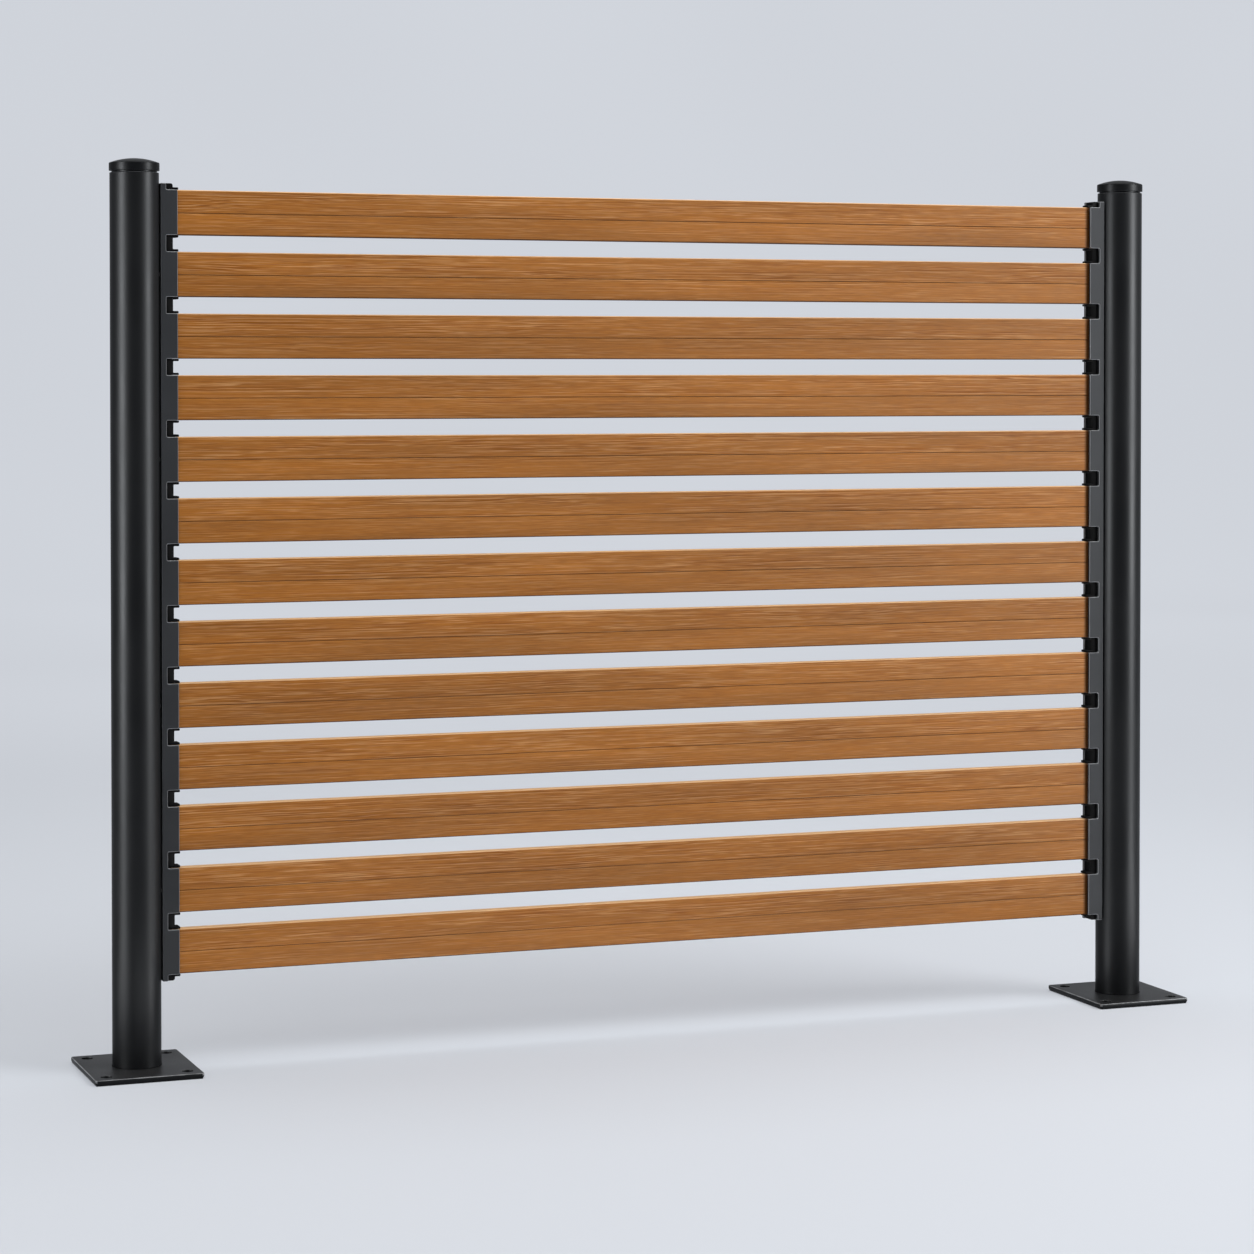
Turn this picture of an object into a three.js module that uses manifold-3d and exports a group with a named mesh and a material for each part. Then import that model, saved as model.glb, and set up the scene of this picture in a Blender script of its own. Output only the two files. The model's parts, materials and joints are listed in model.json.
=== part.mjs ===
// Garden privacy screen: thirteen wood-look slats held in notched rails between two round
// posts that stand on bolt-down base plates.
//
// Units are millimetres. +Z is up, +X runs from the left post to the right post, and the
// front of the screen faces -Y. The origin is on the ground, midway between the posts.
import * as THREE from 'three';
import { mergeVertices } from 'three/addons/utils/BufferGeometryUtils.js';
import Module from 'manifold-3d';

const wasm = await Module();
wasm.setup();

// ---- Driving dimensions -------------------------------------------------------------------

const FIT_GAP = 0.3; // air left between pieces that touch on the real screen

const POST_SPACING = 1476; // between the two post axes
const POST_RADIUS = 32.5;
const POST_WALL = 2.5;
const POST_TOP = 1193;

const CAP_RADIUS = 33.3;
const CAP_RIM_TOP = 1205.5;
const CAP_TOP = 1212;
const CAP_EDGE_RADIUS = 1.4;
const CAP_SHADOW_GAP = 1.2; // height of the groove between cap rim and tube
const CAP_NECK_INSET = 1.3;
const CAP_SKIRT_LENGTH = 22;
const CAP_WALL = 2.4;

const PLATE_WIDTH = 145; // along X
const PLATE_DEPTH = 165; // along Y
const PLATE_THICKNESS = 8;
const PLATE_CORNER_RADIUS = 4;
const PLATE_EDGE_CHAMFER = 1.2;
const ANCHOR_HOLE_RADIUS = 7;
const ANCHOR_OFFSET_X = 54;
const ANCHOR_OFFSET_Y = 63;
const WELD_LEG = 1.8;

const SLAT_COUNT = 13;
const SLAT_HEIGHT = 60;
const SLAT_THICKNESS = 16;
const SLAT_GAP = 22;
const LOWEST_SLAT_BOTTOM = 127;
const SLAT_EDGE_RADIUS = 1.6;
const SLAT_GROOVE_WIDTH = 1.4;
const SLAT_GROOVE_DEPTH = 0.8;
const SLAT_GROOVE_HEIGHT = 29; // above the slat's lower edge
const SLAT_END_CLEARANCE = 6; // between a slat's end and the rail's web

const RAIL_DEPTH = 26; // along Y
const RAIL_WEB = 7.2;
const RAIL_FLANGE = 4.5;
const RAIL_FRONT_REACH = 22.7; // from the web's outer face to the edge of a front tab
const RAIL_BACK_REACH = 19.4; // from the web's outer face to the edge of the back flange
const RAIL_OVERRUN = 8.5; // beyond the top and bottom slats
const RAIL_EDGE_CHAMFER = 0.7;
const NOTCH_CORNER_RADIUS = 1.6;
const TAB_CORNER_CHAMFER = 0.8;

const SPACER_LIP = 3;
const SPACER_LIP_PROUD = 2; // beyond the edge of the front tabs
const SPACER_BODY_WIDTH = 9.7;
const SPACER_CORNER_RADIUS = 0.9;
const STOP_CORNER_RADIUS = 3;

const SCREW_LENGTH = 20;
const SCREW_SHANK_RADIUS = 3;
const SCREW_HEAD_RADIUS = 5.8;
const SCREW_HEAD_EDGE = 0.6;
const SCREW_TIP_TAPER = 1.6;
const SCREW_SOCKET_RADIUS = 2;
const SCREW_SOCKET_DEPTH = 2.2;
const SCREW_HOLE_CLEARANCE = 0.45;
const SCREW_SLATS = [2, 5, 9, 12]; // the slats whose ends hide the rail screws

// ---- Sizes worked out from them -----------------------------------------------------------

const SLAT_PITCH = SLAT_HEIGHT + SLAT_GAP;
const TOP_SLAT_TOP = LOWEST_SLAT_BOTTOM + (SLAT_COUNT - 1) * SLAT_PITCH + SLAT_HEIGHT;
const RAIL_BOTTOM = LOWEST_SLAT_BOTTOM - RAIL_OVERRUN;
const RAIL_TOP = TOP_SLAT_TOP + RAIL_OVERRUN;
// Distances called "out" run from a post's axis towards the middle of the screen.
const WEB_OUTER_OUT = POST_RADIUS + FIT_GAP;
const WEB_INNER_OUT = WEB_OUTER_OUT + RAIL_WEB;
const TAB_EDGE_OUT = WEB_OUTER_OUT + RAIL_FRONT_REACH;
const BACK_EDGE_OUT = WEB_OUTER_OUT + RAIL_BACK_REACH;
const SLAT_END_OUT = WEB_INNER_OUT + SLAT_END_CLEARANCE;
const SLAT_LENGTH = POST_SPACING - 2 * SLAT_END_OUT;
const CAVITY_HALF = RAIL_DEPTH / 2 - RAIL_FLANGE;

const SIDES = [
  { name: 'left', axisX: -POST_SPACING / 2, inward: 1 },
  { name: 'right', axisX: POST_SPACING / 2, inward: -1 },
];

const slatBottom = (number) => TOP_SLAT_TOP - SLAT_HEIGHT - (number - 1) * SLAT_PITCH;

// ---- Materials ----------------------------------------------------------------------------

const finish = (color, roughness, metalness) =>
  new THREE.MeshStandardMaterial({ color, roughness, metalness });

const FINISHES = {
  coatedSteel: () => finish(0x2b2c2e, 0.45, 0.3),
  coatedAluminium: () => finish(0x434446, 0.55, 0.3),
  woodLook: () => finish(0xa4693a, 0.65, 0),
  blackNylon: () => finish(0x0e0f10, 0.5, 0),
  screwSteel: () => finish(0x8d9093, 0.35, 0.9),
  weldMetal: () => finish(0x2b2c2e, 0.55, 0.3),
};

// ---- Geometry helpers ---------------------------------------------------------------------

// A closed outline from corners [x, y, radius]; a corner with no radius stays sharp.
function outline(corners) {
  const shape = new THREE.Shape();
  corners.forEach(([x, y, radius = 0], index) => {
    const before = corners[(index + corners.length - 1) % corners.length];
    const after = corners[(index + 1) % corners.length];
    const corner = new THREE.Vector2(x, y);
    const start = stepTowards(corner, before, radius);
    const end = stepTowards(corner, after, radius);
    if (index === 0) shape.moveTo(start.x, start.y);
    else shape.lineTo(start.x, start.y);
    if (radius > 0) shape.quadraticCurveTo(corner.x, corner.y, end.x, end.y);
  });
  shape.closePath();
  return shape;
}

function stepTowards(from, [x, y], distance) {
  const direction = new THREE.Vector2(x, y).sub(from).normalize();
  return from.clone().addScaledVector(direction, distance);
}

// A shape drawn in X and Y, pulled up along Z from height z.
function extrudeUp(shape, z, height, curveSegments = 2) {
  const geometry = new THREE.ExtrudeGeometry(shape, {
    depth: height, bevelEnabled: false, curveSegments,
  });
  return geometry.translate(0, 0, z);
}

// A shape drawn in X and Z, pulled through the screen from y1 to y2.
function extrudeThrough(shape, y1, y2, curveSegments = 2) {
  const geometry = new THREE.ExtrudeGeometry(shape, {
    depth: y2 - y1, bevelEnabled: false, curveSegments,
  });
  return geometry.rotateX(Math.PI / 2).translate(0, y2, 0);
}

// A profile of [radius, height] points turned about the Z axis.
function turn(profile, segments) {
  const points = profile.map(([radius, height]) => new THREE.Vector2(radius, height));
  return new THREE.LatheGeometry(points, segments).rotateX(Math.PI / 2);
}

function solidFrom(geometry) {
  const bare = geometry.clone();
  bare.deleteAttribute('normal');
  bare.deleteAttribute('uv');
  const merged = mergeVertices(bare, 1e-4);
  return new wasm.Manifold(new wasm.Mesh({
    numProp: 3,
    vertProperties: new Float32Array(merged.attributes.position.array),
    triVerts: new Uint32Array(merged.index.array),
  }));
}

function geometryFrom(solid) {
  const mesh = solid.getMesh();
  const geometry = new THREE.BufferGeometry();
  geometry.setAttribute('position', new THREE.BufferAttribute(mesh.vertProperties, 3));
  geometry.setIndex(new THREE.BufferAttribute(mesh.triVerts, 1));
  return geometry;
}

function cutAway(geometry, cutters) {
  const cut = cutters.reduce((solid, cutter) => solid.subtract(solidFrom(cutter)),
    solidFrom(geometry));
  return geometryFrom(cut);
}

function piece(name, geometry, material) {
  const mesh = new THREE.Mesh(geometry, material);
  mesh.name = name;
  return mesh;
}

// ---- Posts, caps, base plates and welds ---------------------------------------------------

function postTube(side) {
  const bottom = PLATE_THICKNESS + FIT_GAP;
  const inner = POST_RADIUS - POST_WALL;
  const tube = turn([
    [inner, bottom], [POST_RADIUS, bottom], [POST_RADIUS, POST_TOP], [inner, POST_TOP],
    [inner, bottom],
  ], 64);
  const drillings = SCREW_SLATS.map((number) => screwBody(side, number, SCREW_HOLE_CLEARANCE)
    .translate(-side.axisX, 0, 0));
  return cutAway(tube, drillings);
}

function postCap() {
  const neckRadius = CAP_RADIUS - CAP_NECK_INSET;
  const skirtRadius = POST_RADIUS - POST_WALL - FIT_GAP;
  const seat = POST_TOP + FIT_GAP;
  const rimBottom = seat + CAP_SHADOW_GAP;
  const domeEdge = CAP_RADIUS - CAP_EDGE_RADIUS;
  const domeRise = CAP_TOP - CAP_RIM_TOP;
  const dome = [0.25, 0.5, 0.75].map((t) => [
    domeEdge * Math.cos(t * Math.PI / 2), CAP_RIM_TOP + domeRise * Math.sin(t * Math.PI / 2),
  ]);
  return turn([
    [0, CAP_RIM_TOP - CAP_WALL],
    [skirtRadius - CAP_WALL, CAP_RIM_TOP - 2 * CAP_WALL],
    [skirtRadius - CAP_WALL, seat - CAP_SKIRT_LENGTH],
    [skirtRadius - CAP_EDGE_RADIUS / 2, seat - CAP_SKIRT_LENGTH],
    [skirtRadius, seat - CAP_SKIRT_LENGTH + CAP_EDGE_RADIUS],
    [skirtRadius, seat],
    [neckRadius, seat],
    [neckRadius, rimBottom],
    [CAP_RADIUS, rimBottom],
    [CAP_RADIUS, CAP_RIM_TOP - CAP_EDGE_RADIUS],
    [CAP_RADIUS - CAP_EDGE_RADIUS / 3, CAP_RIM_TOP - CAP_EDGE_RADIUS / 3],
    [domeEdge, CAP_RIM_TOP],
    ...dome,
    [0, CAP_TOP],
  ], 48);
}

function basePlate() {
  const x = PLATE_WIDTH / 2;
  const y = PLATE_DEPTH / 2;
  const radius = PLATE_CORNER_RADIUS;
  const shape = outline([
    [-x, -y, radius], [x, -y, radius], [x, y, radius], [-x, y, radius],
  ]);
  for (const holeX of [-ANCHOR_OFFSET_X, ANCHOR_OFFSET_X]) {
    for (const holeY of [-ANCHOR_OFFSET_Y, ANCHOR_OFFSET_Y]) {
      const hole = new THREE.Path();
      hole.absarc(holeX, holeY, ANCHOR_HOLE_RADIUS, 0, Math.PI * 2, true);
      shape.holes.push(hole);
    }
  }
  const geometry = new THREE.ExtrudeGeometry(shape, {
    depth: PLATE_THICKNESS - 2 * PLATE_EDGE_CHAMFER,
    bevelThickness: PLATE_EDGE_CHAMFER,
    bevelSize: PLATE_EDGE_CHAMFER,
    bevelOffset: -PLATE_EDGE_CHAMFER,
    bevelSegments: 1,
    curveSegments: 10,
  });
  return geometry.translate(0, 0, PLATE_EDGE_CHAMFER);
}

function footWeld() {
  const inner = POST_RADIUS + FIT_GAP;
  const bottom = PLATE_THICKNESS + FIT_GAP;
  const waist = WELD_LEG * 0.62;
  return turn([
    [inner, bottom], [inner + WELD_LEG, bottom], [inner + waist, bottom + waist],
    [inner, bottom + WELD_LEG], [inner, bottom],
  ], 64);
}

// ---- Slats --------------------------------------------------------------------------------

function slat() {
  const face = SLAT_THICKNESS / 2;
  const floor = face - SLAT_GROOVE_DEPTH;
  const low = SLAT_GROOVE_HEIGHT - SLAT_GROOVE_WIDTH / 2;
  const high = SLAT_GROOVE_HEIGHT + SLAT_GROOVE_WIDTH / 2;
  const radius = SLAT_EDGE_RADIUS;
  const section = outline([
    [-face, 0, radius], [face, 0, radius],
    [face, low], [floor, SLAT_GROOVE_HEIGHT], [face, high],
    [face, SLAT_HEIGHT, radius], [-face, SLAT_HEIGHT, radius],
    [-face, high], [-floor, SLAT_GROOVE_HEIGHT], [-face, low],
  ]);
  const geometry = new THREE.ExtrudeGeometry(section, {
    depth: SLAT_LENGTH, bevelEnabled: false, curveSegments: 3,
  });
  // The section's X and Y become the screen's Y and Z, and its length runs along X.
  const alongX = new THREE.Matrix4().set(
    0, 0, 1, -SLAT_LENGTH / 2,
    1, 0, 0, 0,
    0, 1, 0, 0,
    0, 0, 0, 1,
  );
  return geometry.applyMatrix4(alongX);
}

// ---- Notched rails ------------------------------------------------------------------------

function notchedRail(side) {
  const across = (out) => side.inward * out;
  const half = RAIL_DEPTH / 2;
  const edge = RAIL_EDGE_CHAMFER;
  const channel = extrudeUp(outline([
    [across(WEB_OUTER_OUT), -half, edge],
    [across(TAB_EDGE_OUT), -half, edge],
    [across(TAB_EDGE_OUT), -CAVITY_HALF],
    [across(WEB_INNER_OUT), -CAVITY_HALF],
    [across(WEB_INNER_OUT), CAVITY_HALF],
    [across(BACK_EDGE_OUT), CAVITY_HALF],
    [across(BACK_EDGE_OUT), half, edge],
    [across(WEB_OUTER_OUT), half, edge],
  ]), RAIL_BOTTOM, RAIL_TOP - RAIL_BOTTOM);
  const notches = [];
  for (let number = 1; number < SLAT_COUNT; number += 1) {
    const top = slatBottom(number);
    notches.push(notchCutter(across, top - SLAT_GAP, top));
  }
  const beyond = 2 * RAIL_OVERRUN;
  notches.push(notchCutter(across, TOP_SLAT_TOP, TOP_SLAT_TOP + beyond));
  notches.push(notchCutter(across, LOWEST_SLAT_BOTTOM - beyond, LOWEST_SLAT_BOTTOM));
  const drillings = SCREW_SLATS.map((number) => screwBody(side, number, SCREW_HOLE_CLEARANCE)
    .translate(-side.axisX, 0, 0));
  return cutAway(channel, [...notches, ...drillings]);
}

// Clears the front flange between two tabs, back to the web.
function notchCutter(across, bottom, top) {
  const flare = TAB_CORNER_CHAMFER;
  const mouth = TAB_EDGE_OUT + flare;
  const shape = outline([
    [across(WEB_INNER_OUT), bottom, NOTCH_CORNER_RADIUS],
    [across(TAB_EDGE_OUT - flare), bottom],
    [across(mouth), bottom - 2 * flare],
    [across(mouth), top + 2 * flare],
    [across(TAB_EDGE_OUT - flare), top],
    [across(WEB_INNER_OUT), top, NOTCH_CORNER_RADIUS],
  ]);
  return extrudeThrough(shape, -RAIL_DEPTH, -CAVITY_HALF + 0.01, 3);
}

// ---- Spacers and end stops in the rails ---------------------------------------------------

// Holds two slats apart: a body in the rail's channel with a lip under and over it.
function gapSpacer(side) {
  const across = (out) => side.inward * out;
  const web = WEB_INNER_OUT + FIT_GAP;
  const body = web + SPACER_BODY_WIDTH;
  const tip = TAB_EDGE_OUT + SPACER_LIP_PROUD;
  const height = SLAT_GAP - 2 * FIT_GAP;
  const radius = SPACER_CORNER_RADIUS;
  const shape = outline([
    [across(web), 0],
    [across(tip), 0, radius],
    [across(tip), SPACER_LIP, radius],
    [across(body), SPACER_LIP, radius],
    [across(body), height - SPACER_LIP, radius],
    [across(tip), height - SPACER_LIP, radius],
    [across(tip), height, radius],
    [across(web), height],
  ]);
  return extrudeThrough(shape, -CAVITY_HALF + FIT_GAP, CAVITY_HALF - FIT_GAP);
}

// Closes the channel over the top slat, or turned over, under the bottom one.
function endStop(side, upright) {
  const across = (out) => side.inward * out;
  const web = WEB_INNER_OUT + FIT_GAP;
  const body = web + SPACER_BODY_WIDTH;
  const tip = TAB_EDGE_OUT + SPACER_LIP_PROUD;
  const height = RAIL_OVERRUN - FIT_GAP;
  const lift = (z) => upright * z;
  const shape = outline([
    [across(web), lift(0)],
    [across(tip), lift(0), SPACER_CORNER_RADIUS],
    [across(tip), lift(SPACER_LIP), SPACER_CORNER_RADIUS],
    [across(body), lift(SPACER_LIP), SPACER_CORNER_RADIUS],
    [across(body), lift(height), STOP_CORNER_RADIUS],
    [across(web), lift(height)],
  ]);
  return extrudeThrough(shape, -CAVITY_HALF + FIT_GAP, CAVITY_HALF - FIT_GAP);
}

// ---- Rail screws --------------------------------------------------------------------------

// A countersunk screw through the rail's web into the post, level with the middle of a slat.
// A clearance above zero gives the hole for it instead.
function screwBody(side, slatNumber, clearance = 0) {
  const shank = SCREW_SHANK_RADIUS + clearance;
  const head = SCREW_HEAD_RADIUS + clearance;
  const headTop = clearance > 0 ? -RAIL_WEB : 0;
  const cone = SCREW_HEAD_EDGE + SCREW_HEAD_RADIUS - SCREW_SHANK_RADIUS;
  const end = SCREW_LENGTH + clearance;
  const top = clearance > 0
    ? [[0, headTop], [head, headTop]]
    : [[0, SCREW_SOCKET_DEPTH], [SCREW_SOCKET_RADIUS, SCREW_SOCKET_DEPTH],
      [SCREW_SOCKET_RADIUS, 0], [head, 0]];
  const profile = [
    ...top,
    [head, SCREW_HEAD_EDGE],
    [shank, cone],
    [shank, end - SCREW_TIP_TAPER],
    [shank - SCREW_TIP_TAPER, end],
    [0, end],
  ];
  // The head faces the slat's end and the tip points at the post's axis.
  const headX = side.axisX + side.inward * (WEB_INNER_OUT - FIT_GAP);
  const height = slatBottom(slatNumber) + SLAT_HEIGHT / 2;
  return turn(profile, 16)
    .rotateY(-side.inward * Math.PI / 2)
    .translate(headX, 0, height);
}

// ---- Assembly -----------------------------------------------------------------------------

function addPost(group, side) {
  const post = new THREE.Group();
  post.position.x = side.axisX;
  post.add(piece(`${side.name}_post`, postTube(side), FINISHES.coatedSteel()));
  post.add(piece(`${side.name}_post_cap`, postCap(), FINISHES.coatedSteel()));
  post.add(piece(`${side.name}_base_plate`, basePlate(), FINISHES.coatedSteel()));
  post.add(piece(`${side.name}_foot_weld`, footWeld(), FINISHES.weldMetal()));
  group.add(post);
}

function addSlats(group) {
  for (let number = 1; number <= SLAT_COUNT; number += 1) {
    const name = `slat_${String(number).padStart(2, '0')}`;
    const board = piece(name, slat(), FINISHES.woodLook());
    board.position.z = slatBottom(number);
    group.add(board);
  }
}

function addRail(group, side) {
  const rail = new THREE.Group();
  rail.position.x = side.axisX;
  rail.add(piece(`${side.name}_rail`, notchedRail(side), FINISHES.coatedAluminium()));
  for (let number = 1; number < SLAT_COUNT; number += 1) {
    const name = `${side.name}_spacer_${String(number).padStart(2, '0')}`;
    const spacer = piece(name, gapSpacer(side), FINISHES.blackNylon());
    spacer.position.z = slatBottom(number) - SLAT_GAP + FIT_GAP;
    rail.add(spacer);
  }
  const topStop = piece(`${side.name}_top_stop`, endStop(side, 1), FINISHES.blackNylon());
  topStop.position.z = TOP_SLAT_TOP + FIT_GAP;
  const bottomStop = piece(`${side.name}_bottom_stop`, endStop(side, -1),
    FINISHES.blackNylon());
  bottomStop.position.z = LOWEST_SLAT_BOTTOM - FIT_GAP;
  rail.add(topStop, bottomStop);
  group.add(rail);
}

function addScrews(group, side) {
  SCREW_SLATS.forEach((slatNumber, index) => {
    const name = `${side.name}_rail_screw_${index + 1}`;
    group.add(piece(name, screwBody(side, slatNumber), FINISHES.screwSteel()));
  });
}

const screen = new THREE.Group();
for (const side of SIDES) {
  addPost(screen, side);
  addRail(screen, side);
  addScrews(screen, side);
}
addSlats(screen);

export default screen;
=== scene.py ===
"""Garden privacy screen: thirteen timber-look boards held in notched rails between two posts.

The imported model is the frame. Everything is in metres, +Z is up, +X runs from the left post to
the right post, the front faces -Y and the origin is on the ground midway between the posts.
Each class below builds one sub-assembly with fine edges and dresses it in its own finish.
"""

import json
import logging
import math
from dataclasses import dataclass
from enum import Enum
from typing import Any, Callable, Optional, Sequence

import bmesh
import bpy
from mathutils import Matrix, Vector
from mathutils.geometry import tessellate_polygon

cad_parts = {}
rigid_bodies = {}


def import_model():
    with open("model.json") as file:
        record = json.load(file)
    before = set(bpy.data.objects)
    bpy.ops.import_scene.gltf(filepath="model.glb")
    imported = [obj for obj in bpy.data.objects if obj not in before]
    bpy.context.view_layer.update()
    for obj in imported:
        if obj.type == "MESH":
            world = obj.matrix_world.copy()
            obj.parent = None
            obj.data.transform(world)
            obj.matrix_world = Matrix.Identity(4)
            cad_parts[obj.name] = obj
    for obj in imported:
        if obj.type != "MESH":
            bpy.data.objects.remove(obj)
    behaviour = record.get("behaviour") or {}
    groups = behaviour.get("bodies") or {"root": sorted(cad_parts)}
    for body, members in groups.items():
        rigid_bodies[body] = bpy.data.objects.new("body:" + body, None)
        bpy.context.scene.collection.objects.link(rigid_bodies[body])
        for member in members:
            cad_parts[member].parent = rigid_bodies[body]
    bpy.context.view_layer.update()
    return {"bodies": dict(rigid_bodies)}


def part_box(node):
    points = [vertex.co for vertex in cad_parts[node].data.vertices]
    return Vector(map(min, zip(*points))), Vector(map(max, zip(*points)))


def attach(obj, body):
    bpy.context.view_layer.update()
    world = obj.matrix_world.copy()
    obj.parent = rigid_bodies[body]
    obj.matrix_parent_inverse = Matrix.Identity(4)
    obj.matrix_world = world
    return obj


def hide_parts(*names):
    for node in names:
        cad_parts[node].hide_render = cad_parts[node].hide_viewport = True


for leftover in list(bpy.data.objects):
    bpy.data.objects.remove(leftover)
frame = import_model()

LOG = logging.getLogger("garden_screen")
MM = 0.001
# An edge sharper than this stays sharp in the shading.
CREASE = math.radians(32)
# From a board's lower edge up to the groove along its faces.
GROOVE_HEIGHT = 29.0 * MM
BODY = next(iter(frame["bodies"]))
Colour = tuple[float, float, float]
Placer = Callable[[float, float, float], Vector]


class Side(Enum):
    """Which end of the screen a post or rail stands at, with the way to the screen's middle."""

    LEFT = ("left", 1.0)
    RIGHT = ("right", -1.0)

    @property
    def label(self) -> str:
        """The word that starts the names of this side's nodes."""
        return self.value[0]

    @property
    def inward(self) -> float:
        """The sign of X from this side's post towards the middle."""
        return self.value[1]


class Slot(Enum):
    """The record's material slots."""

    POST = "post_coating"
    RAIL = "rail_coating"
    BOARD = "slat_board"
    SPACER = "spacer_nylon"
    SCREW = "screw_steel"


# ---- Outlines and solids ----------------------------------------------------------------------


@dataclass(frozen=True)
class Corner:
    """A corner of a drawn outline, rounded by an arc of this radius."""

    u: float
    v: float
    radius: float = 0.0

    @property
    def point(self) -> Vector:
        """The sharp corner's place."""
        return Vector((self.u, self.v))


def rounded(corners: Sequence[Corner], steps: int = 4) -> list[Vector]:
    """Draws a closed outline with arcs at its corners.

    Args:
        corners: the outline's corners in order.
        steps: how many straight steps each arc has.

    Returns:
        The outline's points.
    """
    points: list[Vector] = []
    for index, corner in enumerate(corners):
        if corner.radius <= 0:
            points.append(corner.point)
            continue
        back = (corners[index - 1].point - corner.point).normalized()
        ahead = (corners[(index + 1) % len(corners)].point - corner.point).normalized()
        half = back.angle(ahead) / 2
        reach = corner.radius / math.tan(half)
        centre = corner.point + (back + ahead).normalized() * corner.radius / math.sin(half)
        first = corner.point + back * reach - centre
        last = corner.point + ahead * reach - centre
        for step in range(steps + 1):
            spoke = first.lerp(last, step / steps).normalized()
            points.append(centre + spoke * corner.radius)
    return points


def circle(u: float, v: float, radius: float, steps: int = 40) -> list[Vector]:
    """Draws a round outline about a centre, with this many sides."""
    turns = [step * math.tau / steps for step in range(steps)]
    return [Vector((u + radius * math.cos(t), v + radius * math.sin(t))) for t in turns]


def upright(u: float, v: float, w: float) -> Vector:
    """Sets an outline drawn in plan at height w."""
    return Vector((u, v, w))


def facing(u: float, v: float, w: float) -> Vector:
    """Sets an outline drawn from the front at depth w."""
    return Vector((u, w, v))


def lengthways(u: float, v: float, w: float) -> Vector:
    """Sets a cross-section in Y and Z at the place w along the screen."""
    return Vector((w, u, v))


def mesh_from(sketch: bmesh.types.BMesh, name: str) -> bpy.types.Mesh:
    """Turns a sketch into a smooth mesh whose faces point outwards.

    Args:
        sketch: the closed solid.
        name: the mesh's name.

    Returns:
        The new mesh.
    """
    bmesh.ops.recalc_face_normals(sketch, faces=sketch.faces[:])
    mesh = bpy.data.meshes.new(name)
    sketch.to_mesh(mesh)
    sketch.free()
    return smooth(mesh)


def smooth(mesh: bpy.types.Mesh, crease: float = CREASE) -> bpy.types.Mesh:
    """Shades a mesh smoothly, apart from its sharp edges.

    Args:
        mesh: the mesh.
        crease: the angle past which an edge stays sharp.

    Returns:
        The same mesh.
    """
    mesh.shade_smooth()
    mesh.set_sharp_from_angle(angle=crease)
    return mesh


def layered(name: str, layers: Sequence[tuple[float, Sequence[Sequence[Vector]]]],
            place: Placer, sheltered: Sequence[float] = ()) -> bpy.types.Mesh:
    """Skins outlines, with any holes, that lie one behind another, into a closed solid.

    Args:
        name: the mesh's name.
        layers: each layer's depth with its outline and then its holes, alike in their points.
        place: sets a drawn point and its depth in the frame.
        sheltered: how far each layer's outline is kept free of the painted edge highlight, kept
            as an attribute of that name; the holes are wholly sheltered below the last layer.

    Returns:
        The solid's mesh.
    """
    sketch = bmesh.new()
    shelter = sketch.verts.layers.float.new("sheltered")
    rings = [[[sketch.verts.new(place(p.x, p.y, w)) for p in loop] for loop in loops]
             for w, loops in layers]
    for amount, ring in zip(sheltered, rings):
        for vertex in ring[0]:
            vertex[shelter] = amount
        for vertex in (vertex for hole in ring[1:] for vertex in hole):
            vertex[shelter] = 0.0 if ring is rings[-1] else 1.0
    for below, above in zip(rings, rings[1:]):
        for lower, upper in zip(below, above):
            for index in range(len(lower)):
                following = (index + 1) % len(lower)
                sketch.faces.new((lower[index], lower[following], upper[following],
                                  upper[index]))
    for end, (_, loops) in ((rings[0], layers[0]), (rings[-1], layers[-1])):
        flat = [vertex for loop in end for vertex in loop]
        if len(loops) == 1:
            sketch.faces.new(flat)
            continue
        drawn = [[Vector((p.x, p.y, 0)) for p in loop] for loop in loops]
        for triangle in tessellate_polygon(drawn):
            sketch.faces.new([flat[index] for index in triangle])
    return mesh_from(sketch, name)


def prism(name: str, outline: Sequence[Vector], low: float, high: float,
          place: Placer) -> bpy.types.Mesh:
    """Pulls one outline from one depth to another, into a closed solid."""
    return layered(name, [(low, [outline]), (high, [outline])], place)


def turned(name: str, profile: Sequence[Vector], steps: int, axis_x: float = 0.0,
           ripple: Optional[Callable[[float], float]] = None) -> bpy.types.Mesh:
    """Turns a closed profile of radius and height about a vertical axis.

    Args:
        name: the mesh's name.
        profile: the points; one on the axis becomes a pole.
        steps: how many steps the turn has.
        axis_x: where the axis stands.
        ripple: an addition to the radius at each angle.

    Returns:
        The solid's mesh.
    """
    sketch = bmesh.new()
    rings: list[list[bmesh.types.BMVert]] = []
    for radius, height in profile:
        if radius < 1e-7:
            rings.append([sketch.verts.new((axis_x, 0, height))])
            continue
        ring = []
        for step in range(steps):
            angle = step * math.tau / steps
            reach = radius + (ripple(angle) if ripple else 0.0)
            ring.append(sketch.verts.new(
                (axis_x + reach * math.cos(angle), reach * math.sin(angle), height)))
        rings.append(ring)
    for index, ring in enumerate(rings):
        other = rings[(index + 1) % len(rings)]
        if len(ring) == 1 and len(other) == 1:
            continue
        for step in range(steps):
            following = (step + 1) % steps
            corners = [ring[step % len(ring)], ring[following % len(ring)],
                       other[following % len(other)], other[step % len(other)]]
            sketch.faces.new(list(dict.fromkeys(corners)))
    return mesh_from(sketch, name)


def loose_object(name: str, mesh: bpy.types.Mesh) -> bpy.types.Object:
    """Links a mesh into the scene as an object at the origin.

    Args:
        name: the object's name.
        mesh: its mesh.

    Returns:
        The object.
    """
    piece = bpy.data.objects.new(name, mesh)
    bpy.context.scene.collection.objects.link(piece)
    return piece


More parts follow.
